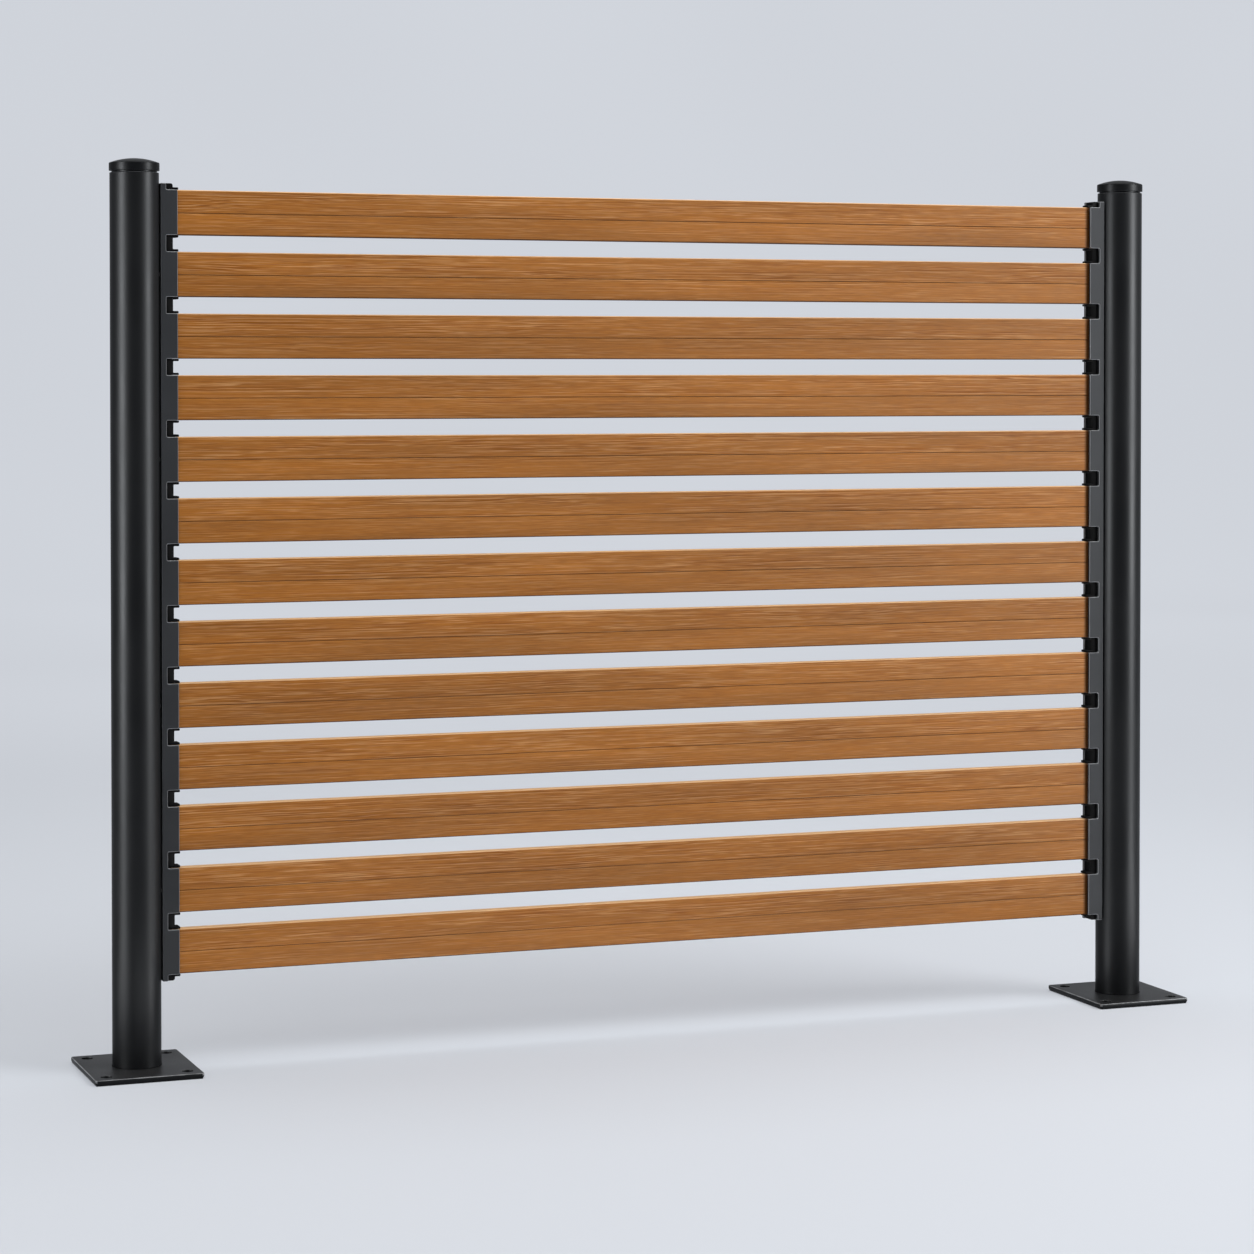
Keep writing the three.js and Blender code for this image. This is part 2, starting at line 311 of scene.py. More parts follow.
def settle(piece: bpy.types.Object, crease: Optional[float] = None) -> bpy.types.Object:
    """Turns what an object's modifiers make into its own plain mesh.

    Args:
        piece: the object, with its modifiers set.
        crease: the angle past which an edge stays sharp, where the shading is set again.

    Returns:
        The same object, with no modifiers.
    """
    graph = bpy.context.evaluated_depsgraph_get()
    graph.update()
    made = bpy.data.meshes.new_from_object(piece.evaluated_get(graph), depsgraph=graph)
    made.name = piece.name
    piece.modifiers.clear()
    piece.data = made if crease is None else smooth(made, crease)
    return piece


def ease_edges(piece: bpy.types.Object, width: float, segments: int = 2,
               angle: float = math.radians(40)) -> bpy.types.Object:
    """Rounds every sharp edge of a piece.

    Args:
        piece: the object.
        width: how far the rounding reaches over each face.
        segments: how many steps the rounding has.
        angle: how sharp an edge has to be.

    Returns:
        The same object, with a plain mesh.
    """
    bevel = piece.modifiers.new("eased_edges", "BEVEL")
    bevel.width = width
    bevel.segments = segments
    bevel.limit_method = "ANGLE"
    bevel.angle_limit = angle
    bevel.miter_outer = "MITER_ARC"
    bevel.harden_normals = True
    bevel.use_clamp_overlap = False
    return settle(piece)


def remove_object(piece: bpy.types.Object) -> None:
    """Deletes a working object that isn't part of the screen."""
    bpy.data.objects.remove(piece)


# ---- Node trees -------------------------------------------------------------------------------


class NodeSheet:
    """Adds nodes to a tree and joins them."""

    def __init__(self, tree: bpy.types.NodeTree) -> None:
        """Starts on an existing tree."""
        self.tree = tree

    def add(self, kind: str, inputs: Optional[dict[Any, Any]] = None,
            **settings: Any) -> bpy.types.Node:
        """Adds one node.

        Args:
            kind: the node's type.
            inputs: a value or another node's output for each input, by name or number.
            settings: the node's own options.

        Returns:
            The node.
        """
        node = self.tree.nodes.new(kind)
        for option, value in settings.items():
            setattr(node, option, value)
        for key, value in (inputs or {}).items():
            self.feed(node.inputs[key], value)
        return node

    def feed(self, socket: bpy.types.NodeSocket, value: Any) -> None:
        """Gives an input a value, or joins it to an output.

        Args:
            socket: the input.
            value: a number, a colour, a vector or another node's output.
        """
        if isinstance(value, bpy.types.NodeSocket):
            self.tree.links.new(value, socket)
        elif socket.type == "RGBA":
            socket.default_value = (*value, 1.0)
        else:
            socket.default_value = value

    def place(self) -> bpy.types.NodeSocket:
        """Adds the Object coordinates of the shaded point."""
        return self.add("ShaderNodeTexCoord").outputs["Object"]

    def normal(self) -> bpy.types.NodeSocket:
        """Adds the surface's normal."""
        return self.add("ShaderNodeNewGeometry").outputs["Normal"]

    def attribute(self, name: str) -> bpy.types.NodeSocket:
        """Adds the value of one of the piece's own attributes."""
        return self.add("ShaderNodeAttribute", attribute_name=name).outputs["Fac"]

    def split(self, vector: Any) -> Any:
        """Splits a vector and returns its X, Y and Z outputs."""
        return self.add("ShaderNodeSeparateXYZ", {0: vector}).outputs

    def math(self, operation: str, *values: Any, clamp: bool = False) -> bpy.types.NodeSocket:
        """Adds a Math node.

        Args:
            operation: what it does.
            values: its inputs in order, as numbers or outputs.
            clamp: whether the result stays between 0 and 1.

        Returns:
            The result.
        """
        node = self.add("ShaderNodeMath", dict(enumerate(values)), operation=operation,
                        use_clamp=clamp)
        return node.outputs[0]

    def stretch(self, vector: Any, scale: Sequence[float],
                shift: Any = (0.0, 0.0, 0.0)) -> bpy.types.NodeSocket:
        """Scales a coordinate by axis and shifts it.

        Args:
            vector: the coordinate.
            scale: the factor along each axis.
            shift: what is added after that.

        Returns:
            The new coordinate.
        """
        node = self.add("ShaderNodeVectorMath", {0: vector, 1: tuple(scale), 2: shift},
                        operation="MULTIPLY_ADD")
        return node.outputs[0]

    def noise(self, vector: Any, detail: float = 2.0,
              scale: Any = 1.0) -> bpy.types.NodeSocket:
        """Adds a noise texture.

        Args:
            vector: the coordinate that it lies on.
            detail: how many finer layers it has.
            scale: how fine it is.

        Returns:
            Its value.
        """
        node = self.add("ShaderNodeTexNoise",
                        {"Vector": vector, "Scale": scale, "Detail": detail})
        return node.outputs["Fac"]

    def ramp(self, value: Any, low: float, high: float, to_low: Any = 0.0,
             to_high: float = 1.0) -> bpy.types.NodeSocket:
        """Maps a value from one range smoothly onto another.

        Args:
            value: the value.
            low: where the first range starts.
            high: where it ends.
            to_low: what the start becomes.
            to_high: what the end becomes.

        Returns:
            The mapped value.
        """
        node = self.add("ShaderNodeMapRange", {
            "Value": value, "From Min": low, "From Max": high, "To Min": to_low,
            "To Max": to_high}, interpolation_type="SMOOTHSTEP")
        return node.outputs["Result"]

    def blend(self, share: Any, first: Any, second: Any,
              mode: str = "MIX") -> bpy.types.NodeSocket:
        """Mixes two colours.

        Args:
            share: how much of the second colour shows.
            first: the first colour.
            second: the second colour.
            mode: how they are mixed.

        Returns:
            The mix.
        """
        node = self.add("ShaderNodeMix", {"Factor": share}, data_type="RGBA", blend_type=mode)
        self.feed(node.inputs[6], first)
        self.feed(node.inputs[7], second)
        return node.outputs[2]


class GroupSheet(NodeSheet):
    """A node group with named inputs and outputs."""

    KINDS = {float: "NodeSocketFloat", int: "NodeSocketInt", tuple: "NodeSocketColor"}

    def __init__(self, name: str, kind: str, inputs: dict[str, Any],
                 outputs: dict[str, str]) -> None:
        """Starts a new group.

        Args:
            name: the group's name.
            kind: ShaderNodeTree or GeometryNodeTree.
            inputs: each input's first value, or its socket type.
            outputs: each output's socket type.
        """
        super().__init__(bpy.data.node_groups.new(name, kind))
        face = self.tree.interface
        for label, value in inputs.items():
            socket_type = value if isinstance(value, str) else self.KINDS[type(value)]
            socket = face.new_socket(label, in_out="INPUT", socket_type=socket_type)
            if isinstance(value, tuple):
                socket.default_value = (*value, 1.0)
            elif not isinstance(value, str):
                socket.default_value = value
        for label, socket_type in outputs.items():
            face.new_socket(label, in_out="OUTPUT", socket_type=socket_type)
        self.source = self.add("NodeGroupInput").outputs
        self.result = self.add("NodeGroupOutput").inputs

    def in_patches(self, mask: bpy.types.NodeSocket) -> bpy.types.NodeSocket:
        """Breaks a mask up, as far as the group's Patchiness and Evenness inputs say.

        Args:
            mask: the whole mask.

        Returns:
            The mask where the patches leave it.
        """
        patches = self.noise(self.place(), detail=3.0, scale=self.source["Patchiness"])
        worn = self.ramp(patches, 0.3, 0.65, self.source["Evenness"], 1.0)
        return self.math("MULTIPLY", mask, worn)

    def put(self, **outputs: bpy.types.NodeSocket) -> bpy.types.NodeTree:
        """Joins the group's outputs.

        Args:
            outputs: what each output gives, with _ for a space in its name.

        Returns:
            The finished tree.
        """
        for label, socket in outputs.items():
            self.feed(self.result[label.replace("_", " ")], socket)
        return self.tree


class Spread(Enum):
    """How copies are spread: in an even row upwards, or at marked points."""

    ROW = "row"
    MARKS = "marks"


class Deed(Enum):
    """What the copies do: they are the piece, or they are cut out of a blank."""

    SET = "set"
    CUT = "cut"


def copies_tree(spread: Spread, deed: Deed) -> bpy.types.NodeTree:
    """Builds the Geometry Nodes tree that sets or cuts copies of a shape.

    Args:
        spread: how the copies are spread.
        deed: what they do to the modified object.

    Returns:
        The tree, with inputs for the copied shape, the row or the marks, and the material.
    """
    inputs: dict[str, Any] = {"Geometry": "NodeSocketGeometry", "Shape": "NodeSocketObject",
                              "Material": "NodeSocketMaterial"}
    if spread is Spread.ROW:
        inputs.update({"Count": 2, "Pitch": 0.1})
    else:
        inputs["Marks"] = "NodeSocketObject"
    sheet = GroupSheet(f"{deed.value}_copies_by_{spread.value}", "GeometryNodeTree", inputs,
                       {"Geometry": "NodeSocketGeometry"})
    shape = sheet.add("GeometryNodeObjectInfo", {"Object": sheet.source["Shape"]})
    if spread is Spread.ROW:
        step = sheet.add("ShaderNodeCombineXYZ", {"Z": sheet.source["Pitch"]})
        points = sheet.add("GeometryNodeMeshLine", {
            "Count": sheet.source["Count"], "Offset": step.outputs[0]}).outputs["Mesh"]
    else:
        marks = sheet.add("GeometryNodeObjectInfo", {"Object": sheet.source["Marks"]})
        points = marks.outputs["Geometry"]
    copies = sheet.add("GeometryNodeInstanceOnPoints", {
        "Points": points, "Instance": shape.outputs["Geometry"]}).outputs["Instances"]
    if deed is Deed.SET:
        number = sheet.add("GeometryNodeInputIndex").outputs[0]
        copies = sheet.add("GeometryNodeStoreNamedAttribute", {
            "Geometry": copies, "Name": "copy_number", "Value": number},
            data_type="FLOAT", domain="INSTANCE").outputs[0]
    solid = sheet.add("GeometryNodeRealizeInstances", {"Geometry": copies}).outputs[0]
    if deed is Deed.CUT:
        cut = sheet.add("GeometryNodeMeshBoolean", {
            "Mesh 1": sheet.source["Geometry"], "Mesh 2": solid}, operation="DIFFERENCE",
            solver="EXACT")
        solid = sheet.add("GeometryNodeRealizeInstances",
                          {"Geometry": cut.outputs[0]}).outputs[0]
    dressed = sheet.add("GeometryNodeSetMaterial", {
        "Geometry": solid, "Material": sheet.source["Material"]})
    return sheet.put(Geometry=dressed.outputs[0])


class Workshop:
    """Holds the trees that copy shapes, and applies them to pieces."""

    def __init__(self) -> None:
        """Builds the trees that the screen needs."""
        self.trees = {(spread, deed): copies_tree(spread, deed)
                      for spread in Spread for deed in Deed}

    def apply(self, piece: bpy.types.Object, spread: Spread, deed: Deed, shape: bpy.types.Mesh,
              material: bpy.types.Material, count: int = 0, pitch: float = 0.0,
              marks: Sequence[Vector] = ()) -> bpy.types.Object:
        """Runs one tree on a piece and keeps the result as its mesh.

        Args:
            piece: the object that becomes the copies, or the blank that they cut.
            spread: how the copies are spread.
            deed: what they do.
            shape: the copied shape, in place for the first of a row.
            material: what the result wears.
            count: the number of copies in a row.
            pitch: the distance from one copy of a row to the next.
            marks: the places of the copies, where they aren't in a row.

        Returns:
            The same object, with a plain mesh.
        """
        tool = loose_object(f"{piece.name}_shape", shape)
        helpers = [tool]
        values: dict[str, Any] = {"Shape": tool, "Material": material}
        if spread is Spread.ROW:
            values.update({"Count": count, "Pitch": pitch})
        else:
            points = bpy.data.meshes.new(f"{piece.name}_marks")
            points.from_pydata([tuple(mark) for mark in marks], [], [])
            values["Marks"] = loose_object(points.name, points)
            helpers.append(values["Marks"])
        tree = self.trees[spread, deed]
        modifier = piece.modifiers.new(tree.name, "NODES")
        modifier.node_group = tree
        for item in tree.interface.items_tree:
            if item.in_out == "INPUT" and item.name in values:
                modifier[item.identifier] = values[item.name]
        settle(piece, CREASE)
        for helper in helpers:
            remove_object(helper)
        return piece

    def copies(self, name: str, **order: Any) -> bpy.types.Object:
        """Makes a piece out of nothing but copies of a shape."""
        blank = loose_object(name, bpy.data.meshes.new(name))
        return self.apply(blank, deed=Deed.SET, **order)


# ---- Effects shared by the finishes -----------------------------------------------------------


def edge_wear_group() -> bpy.types.NodeTree:
    """Builds a mask that is 1 along edges and 0 on flat faces, for painted edge highlights and
    worn edges.

    Returns:
        The group.
    """
    sheet = GroupSheet("edge_wear", "ShaderNodeTree",
                       {"Reach": 0.0006, "Patchiness": 60.0, "Evenness": 0.0},
                       {"Mask": "NodeSocketFloat"})
    eased = sheet.add("ShaderNodeBevel", {"Radius": sheet.source["Reach"]}, samples=4)
    true = sheet.add("ShaderNodeNewGeometry").outputs["True Normal"]
    match = sheet.add("ShaderNodeVectorMath", {0: eased.outputs[0], 1: true},
                      operation="DOT_PRODUCT").outputs["Value"]
    return sheet.put(Mask=sheet.in_patches(sheet.ramp(match, 0.99, 0.9)))


def box_edges_group() -> bpy.types.NodeTree:
    """Builds a mask that is 1 on the rounded edges of a square-cut piece, 0 on its flats.

    Returns:
        The group.
    """
    sheet = GroupSheet("box_edges", "ShaderNodeTree", {"Patchiness": 60.0, "Evenness": 0.0},
                       {"Mask": "NodeSocketFloat"})
    size = sheet.add("ShaderNodeVectorMath", {0: sheet.normal()}, operation="ABSOLUTE")
    parts = sheet.split(size.outputs[0])
    most = sheet.math("MAXIMUM", sheet.math("MAXIMUM", parts["X"], parts["Y"]), parts["Z"])
    return sheet.put(Mask=sheet.in_patches(sheet.ramp(most, 0.99, 0.88)))


def settled_dust_group() -> bpy.types.NodeTree:
    """Builds a mask of fine dust that lies on faces that look up.

    Returns:
        The group.
    """
    sheet = GroupSheet("settled_dust", "ShaderNodeTree", {"Amount": 0.2, "Speck Size": 0.002},
                       {"Mask": "NodeSocketFloat"})
    place = sheet.place()
    upward = sheet.ramp(sheet.split(sheet.normal())["Z"], 0.35, 0.95)
    fineness = sheet.math("DIVIDE", 1.0, sheet.source["Speck Size"])
    specks = sheet.ramp(sheet.noise(place, detail=4.0, scale=fineness), 0.4, 0.75)
    cloud = sheet.ramp(sheet.noise(place, detail=2.0, scale=14.0), 0.3, 0.7, 0.35, 1.0)
    held = sheet.math("MULTIPLY", upward, sheet.math("MULTIPLY", specks, cloud))
    return sheet.put(Mask=sheet.math("MULTIPLY", held, sheet.source["Amount"], clamp=True))


def coat_skin_group() -> bpy.types.NodeTree:
    """Builds the faint orange peel and mottle of a sprayed or moulded skin.

    Returns:
        The group.
    """
    sheet = GroupSheet("coat_skin", "ShaderNodeTree", {"Peel Size": 0.0015, "Grit Size": 0.0003},
                       {"Height": "NodeSocketFloat", "Mottle": "NodeSocketFloat"})
    place = sheet.place()
    peel = sheet.noise(place, detail=1.0,
                       scale=sheet.math("DIVIDE", 1.0, sheet.source["Peel Size"]))
    grit = sheet.noise(place, detail=2.0,
                       scale=sheet.math("DIVIDE", 1.0, sheet.source["Grit Size"]))
    height = sheet.math("MULTIPLY_ADD", grit, 0.35, peel)
    return sheet.put(Height=height, Mottle=sheet.noise(place, detail=3.0, scale=9.0))


def long_grain_group() -> bpy.types.NodeTree:
    """Builds timber that runs along X: tone, lines with a painted highlight beside each, dashes,
    fibres and flecks.

    Returns:
        The group.
    """
    sheet = GroupSheet(
        "long_grain", "ShaderNodeTree",
        {"Pale": (0.5, 0.25, 0.1), "Middle": (0.4, 0.17, 0.05), "Dark": (0.2, 0.07, 0.02),
         "Warm": (0.45, 0.15, 0.04), "Board Number": 0.0, "Streak Weight": 1.0},
        {"Color": "NodeSocketColor", "Height": "NodeSocketFloat", "Roughness": "NodeSocketFloat"})
    number = sheet.source["Board Number"]
    weight = sheet.source["Streak Weight"]
    cut_from = sheet.add("ShaderNodeCombineXYZ", {
        "X": sheet.math("MULTIPLY", number, 2.37), "Y": sheet.math("MULTIPLY", number, 0.41),
        "Z": sheet.math("MULTIPLY", number, 0.173)}).outputs[0]
    timber = sheet.stretch(sheet.place(), (1.0, 1.0, 1.0), cut_from)
    waver = sheet.noise(sheet.stretch(timber, (3.5, 12.0, 12.0), (9.0, 4.0, 2.0)), detail=1.0)
    bowed = sheet.math("MULTIPLY", waver, 0.01)
    drift = sheet.add("ShaderNodeCombineXYZ", {"Y": bowed, "Z": bowed}).outputs[0]
    wavy = sheet.add("ShaderNodeVectorMath", {0: timber, 1: drift}, operation="ADD").outputs[0]

    tone = sheet.noise(sheet.stretch(timber, (2.2, 26.0, 26.0)), detail=2.0)
    warmth = sheet.noise(sheet.stretch(timber, (6.0, 55.0, 55.0), (3.0, 1.0, 7.0)), detail=2.0)
    long_lines = (1.7, 680.0, 680.0)
    lines = sheet.noise(sheet.stretch(wavy, long_lines), detail=1.0)
    # Painted highlight: a pale line just below each dark grain line, as if lit from above.
    lit = sheet.noise(sheet.stretch(wavy, long_lines, (0.0, 0.0, 1.0)), detail=1.0)
    dashes = sheet.noise(sheet.stretch(wavy, (12.0, 840.0, 840.0), (1.0, 6.0, 4.0)),
                         detail=1.0)
    fibres = sheet.noise(sheet.stretch(timber, (55.0, 1100.0, 1100.0)), detail=2.0)
    flecks = sheet.noise(sheet.stretch(timber, (20.0, 800.0, 800.0), (8.0, 2.0, 5.0)),
                         detail=1.0)
    patches = sheet.noise(sheet.stretch(timber, (5.0, 90.0, 90.0)), detail=1.0)

    held = sheet.math("MULTIPLY", weight, sheet.ramp(patches, 0.35, 0.65, 0.55, 1.15))
    dark = sheet.math("ADD", sheet.ramp(dashes, 0.48, 0.28, 0.0, 0.75),
                      sheet.ramp(lines, 0.46, 0.3, 0.0, 0.8))
    dark = sheet.math("MULTIPLY", dark, held, clamp=True)
    # Pale: the flecks, and the painted highlight lines.
    pale = sheet.math("ADD", sheet.ramp(flecks, 0.5, 0.7, 0.0, 0.9),
                      sheet.ramp(lit, 0.46, 0.3, 0.0, 0.7))
    pale = sheet.math("MULTIPLY", pale, held, clamp=True)
    colour = sheet.blend(sheet.ramp(warmth, 0.35, 0.7, 0.0, 0.5), sheet.source["Middle"],
                         sheet.source["Warm"])
    colour = sheet.blend(pale, colour, sheet.source["Pale"])
    colour = sheet.blend(dark, colour, sheet.source["Dark"])
    level = sheet.math("MULTIPLY", sheet.ramp(tone, 0.25, 0.75, 0.86, 1.14),
                       sheet.ramp(fibres, 0.25, 0.75, 0.88, 1.12))
    shade = sheet.add("ShaderNodeCombineXYZ", {"X": level, "Y": level, "Z": level}).outputs[0]
    colour = sheet.blend(1.0, colour, shade, "MULTIPLY")
    height = sheet.math("SUBTRACT", fibres, sheet.math("MULTIPLY", dark, 0.7))
    roughness = sheet.math("ADD", sheet.ramp(fibres, 0.2, 0.8, 0.52, 0.64),
                           sheet.math("MULTIPLY", dark, 0.08))
    return sheet.put(Color=colour, Height=height, Roughness=roughness)


class Effects:
    """The shared node groups, built once."""

    def __init__(self) -> None:
        """Builds the groups."""
        self.edge_wear = edge_wear_group()
        self.box_edges = box_edges_group()
        self.settled_dust = settled_dust_group()
        self.coat_skin = coat_skin_group()
        self.long_grain = long_grain_group()


# ---- Finishes ---------------------------------------------------------------------------------


class FinishSheet(NodeSheet):
    """The node tree of one material, with its shader."""

    def __init__(self, name: str) -> None:
        """Starts a material with an empty Principled shader.

        Args:
            name: the material's name.
        """
        self.material = bpy.data.materials.new(name)
        self.material.use_nodes = True
        super().__init__(self.material.node_tree)
        self.shader = self.tree.nodes["Principled BSDF"]

    def group(self, tree: bpy.types.NodeTree, inputs: dict[str, Any]) -> bpy.types.Node:
        """Places a shared effect with this finish's own values."""
        return self.add("ShaderNodeGroup", inputs, node_tree=tree)

    def set(self, **sockets: Any) -> None:
        """Sets or joins the shader's inputs, with _ for a space in their names."""
        for label, value in sockets.items():
            self.feed(self.shader.inputs[label.replace("_", " ")], value)

    def relief(self, height: Any, depth: float) -> None:
        """Gives the surface a fine relief of this depth."""
        bump = self.add("ShaderNodeBump", {"Height": height, "Strength": 1.0, "Distance": depth})
        self.set(Normal=bump.outputs[0])


@dataclass(frozen=True)
class PowderCoat:
    """A satin powder coat over metal."""

    name: str
    colour: Colour
    # Colour of the painted highlight along edges and on faces that look up.
    worn_colour: Colour
    dust_colour: Colour = (0.2, 0.2, 0.2)
    tint: Colour = (0.93, 0.965, 1.0)
    roughness: float = 0.39
    specular: float = 0.05
    wear: float = 0.6
    wear_reach: float = 1.2 * MM
    wear_evenness: float = 0.5
    square_cut: bool = False
    # Painted shade: the share of the edge highlight taken off edges that face +X.
    kept_right: float = 0.0
    # How much painted highlight the faces that look up get.
    lit_ends: float = 0.0
    dust: float = 0.12
    mottle_shade: float = 0.86
    peel_depth: float = 0.06 * MM

    def material(self, effects: Effects) -> bpy.types.Material:
        """Builds the coat's material.

        Args:
            effects: the shared node groups.

        Returns:
            The material.
        """
        sheet = FinishSheet(self.name)
        skin = sheet.group(effects.coat_skin, {"Peel Size": 2.2 * MM, "Grit Size": 0.4 * MM})
        mottle = skin.outputs["Mottle"]
        shelter = sheet.attribute("sheltered")
        # The edges that get the painted highlight.
        if self.square_cut:
            mask = sheet.group(effects.box_edges,
                               {"Evenness": self.wear_evenness}).outputs["Mask"]
        else:
            mask = sheet.group(effects.edge_wear, {
                "Reach": self.wear_reach, "Evenness": self.wear_evenness}).outputs["Mask"]
        turn = sheet.split(sheet.normal())
        # Painted shade: edges that face +X get less of the painted highlight.
        reach = sheet.ramp(turn["X"], 0.2, 0.6, self.wear, self.wear * (1 - self.kept_right))
        # Painted highlight on faces that look up, such as the tube's top end.
        lit = sheet.ramp(turn["Z"], 0.1, 0.5, 0.0, self.lit_ends)
        wear = sheet.math("ADD", sheet.math("MULTIPLY", mask, reach), lit, clamp=True)
        # Sheltered places, such as hole walls and the plate's low sides, get no painted
        # highlight.
        wear = sheet.math("MULTIPLY", wear, sheet.ramp(shelter, 0.4, 0.9, 1.0, 0.0))
        dust = sheet.group(effects.settled_dust, {"Amount": self.dust}).outputs["Mask"]
        deep = tuple(channel * self.mottle_shade for channel in self.colour)
        colour = sheet.blend(sheet.ramp(mottle, 0.3, 0.7), deep, self.colour)
        # Painted highlight: edges and faces that look up are lightened towards the highlight
        # colour.
        colour = sheet.blend(wear, colour, self.worn_colour)
        colour = sheet.blend(dust, colour, self.dust_colour)
        rough = sheet.ramp(mottle, 0.25, 0.75, self.roughness - 0.03, self.roughness + 0.04)
        rough = sheet.math("ADD", rough, sheet.math("MULTIPLY", dust, 0.3))
        sheet.set(Base_Color=colour, Roughness=rough, Specular_IOR_Level=self.specular,
                  Specular_Tint=self.tint)
        sheet.relief(skin.outputs["Height"], self.peel_depth)
        return sheet.material


@dataclass(frozen=True)
class TimberLook:
    """Orange-brown boards with a long fine grain, streakier above their middle line."""

    name: str
    pale: Colour
    middle: Colour
    dark: Colour
    warm: Colour
    # Colour of the painted highlight on the boards' edges and faces that look up.
    edge_colour: Colour
    # Colour of the painted shade on faces that look down and at the boards' +X ends.
    under_colour: Colour
    first_edge: float
    pitch: float
    end_shade: float = 681.0 * MM
    grain_depth: float = 0.15 * MM

    def material(self, effects: Effects) -> bpy.types.Material:
        """Builds the boards' material.

        Args:
            effects: the shared node groups.

        Returns:
            The material.
        """
        sheet = FinishSheet(self.name)
        where = sheet.split(sheet.place())
        above = sheet.math("WRAP", sheet.math("SUBTRACT", where["Z"], self.first_edge),
                           self.pitch, 0.0)
        weight = sheet.ramp(above, GROOVE_HEIGHT - 6 * MM, GROOVE_HEIGHT + 6 * MM, 0.55, 1.0)
        grain = sheet.group(effects.long_grain, {
            "Pale": self.pale, "Middle": self.middle, "Dark": self.dark, "Warm": self.warm,
            "Board Number": sheet.attribute("copy_number"), "Streak Weight": weight})
        # Painted highlight along the boards' rounded edges.
        wear = sheet.group(effects.edge_wear, {"Reach": 1.6 * MM, "Patchiness": 25.0})
        lift = sheet.math("MULTIPLY", wear.outputs["Mask"], 0.1)
        colour = sheet.blend(lift, grain.outputs["Color"], self.edge_colour)
        tilt = sheet.split(sheet.normal())["Z"]
        off_line = sheet.math("ABSOLUTE", sheet.math("SUBTRACT", above, GROOVE_HEIGHT))
        # Painted highlight on faces that look up, away from the groove.
        lit = sheet.math("MULTIPLY", sheet.ramp(tilt, 0.1, 0.7, 0.0, 0.85),
                         sheet.ramp(off_line, 2 * MM, 3 * MM))
        colour = sheet.blend(lit, colour, self.edge_colour)
        # Painted shade in the groove.
        colour = sheet.blend(sheet.ramp(off_line, 0.3 * MM, 0.9 * MM, 0.1, 0.0), colour,
                             self.dark)
        # Painted shadow at the +X ends behind the rail's tabs, and painted shade on faces that
        # look down.
        ends = sheet.ramp(where["X"], self.end_shade - 7 * MM, self.end_shade, 0.0, 0.97)
        shaded = sheet.math("ADD", sheet.ramp(tilt, -0.02, -0.5, 0.0, 0.9), ends, clamp=True)
        colour = sheet.blend(shaded, colour, self.under_colour)
        sheet.set(Base_Color=colour, Roughness=grain.outputs["Roughness"],
                  Specular_IOR_Level=0.05)
        sheet.relief(grain.outputs["Height"], self.grain_depth)
        return sheet.material


@dataclass(frozen=True)
class MouldedNylon:
    """Matt black plastic with a fine spark-eroded texture."""

    name: str
    colour: Colour
    roughness: float = 0.6
    worn_lift: float = 2.5
    texture_depth: float = 0.04 * MM

    def material(self, effects: Effects) -> bpy.types.Material:
        """Builds the plastic's material.

        Args:
            effects: the shared node groups.

        Returns:
            The material.
        """
        sheet = FinishSheet(self.name)
        skin = sheet.group(effects.coat_skin, {"Peel Size": 0.7 * MM, "Grit Size": 0.25 * MM})
        wear = sheet.group(effects.edge_wear, {"Reach": 0.5 * MM}).outputs["Mask"]
        grey = tuple(channel * self.worn_lift for channel in self.colour)
        colour = sheet.blend(sheet.math("MULTIPLY", wear, 0.5), self.colour, grey)
        rough = sheet.ramp(skin.outputs["Mottle"], 0.3, 0.7, self.roughness - 0.05,
                           self.roughness + 0.05)
        sheet.set(Base_Color=colour, Roughness=rough, Specular_IOR_Level=0.02)
        sheet.relief(skin.outputs["Height"], self.texture_depth)
        return sheet.material


@dataclass(frozen=True)
class StainlessSteel:
    """Turned stainless steel."""

    name: str
    colour: Colour
    roughness: float = 0.3
    ring_shade: float = 0.8
    ring_depth: float = 0.02 * MM

    def material(self, effects: Effects) -> bpy.types.Material:
        """Builds the steel's material.

        Args:
            effects: the shared node groups.

        Returns:
            The material.
        """
        sheet = FinishSheet(self.name)
        rings = sheet.noise(sheet.stretch(sheet.place(), (6000.0, 300.0, 300.0)), detail=2.0)
        wear = sheet.group(effects.edge_wear, {"Reach": 0.3 * MM}).outputs["Mask"]
        dull = tuple(channel * self.ring_shade for channel in self.colour)
        colour = sheet.blend(sheet.math("MULTIPLY", rings, 0.5), self.colour, dull)
        colour = sheet.blend(sheet.math("MULTIPLY", wear, 0.4), colour, (0.8, 0.8, 0.8))
        rough = sheet.ramp(rings, 0.3, 0.7, self.roughness - 0.06, self.roughness + 0.08)
        sheet.set(Base_Color=colour, Metallic=1.0, Roughness=rough)
        sheet.relief(rings, self.ring_depth)
        return sheet.material


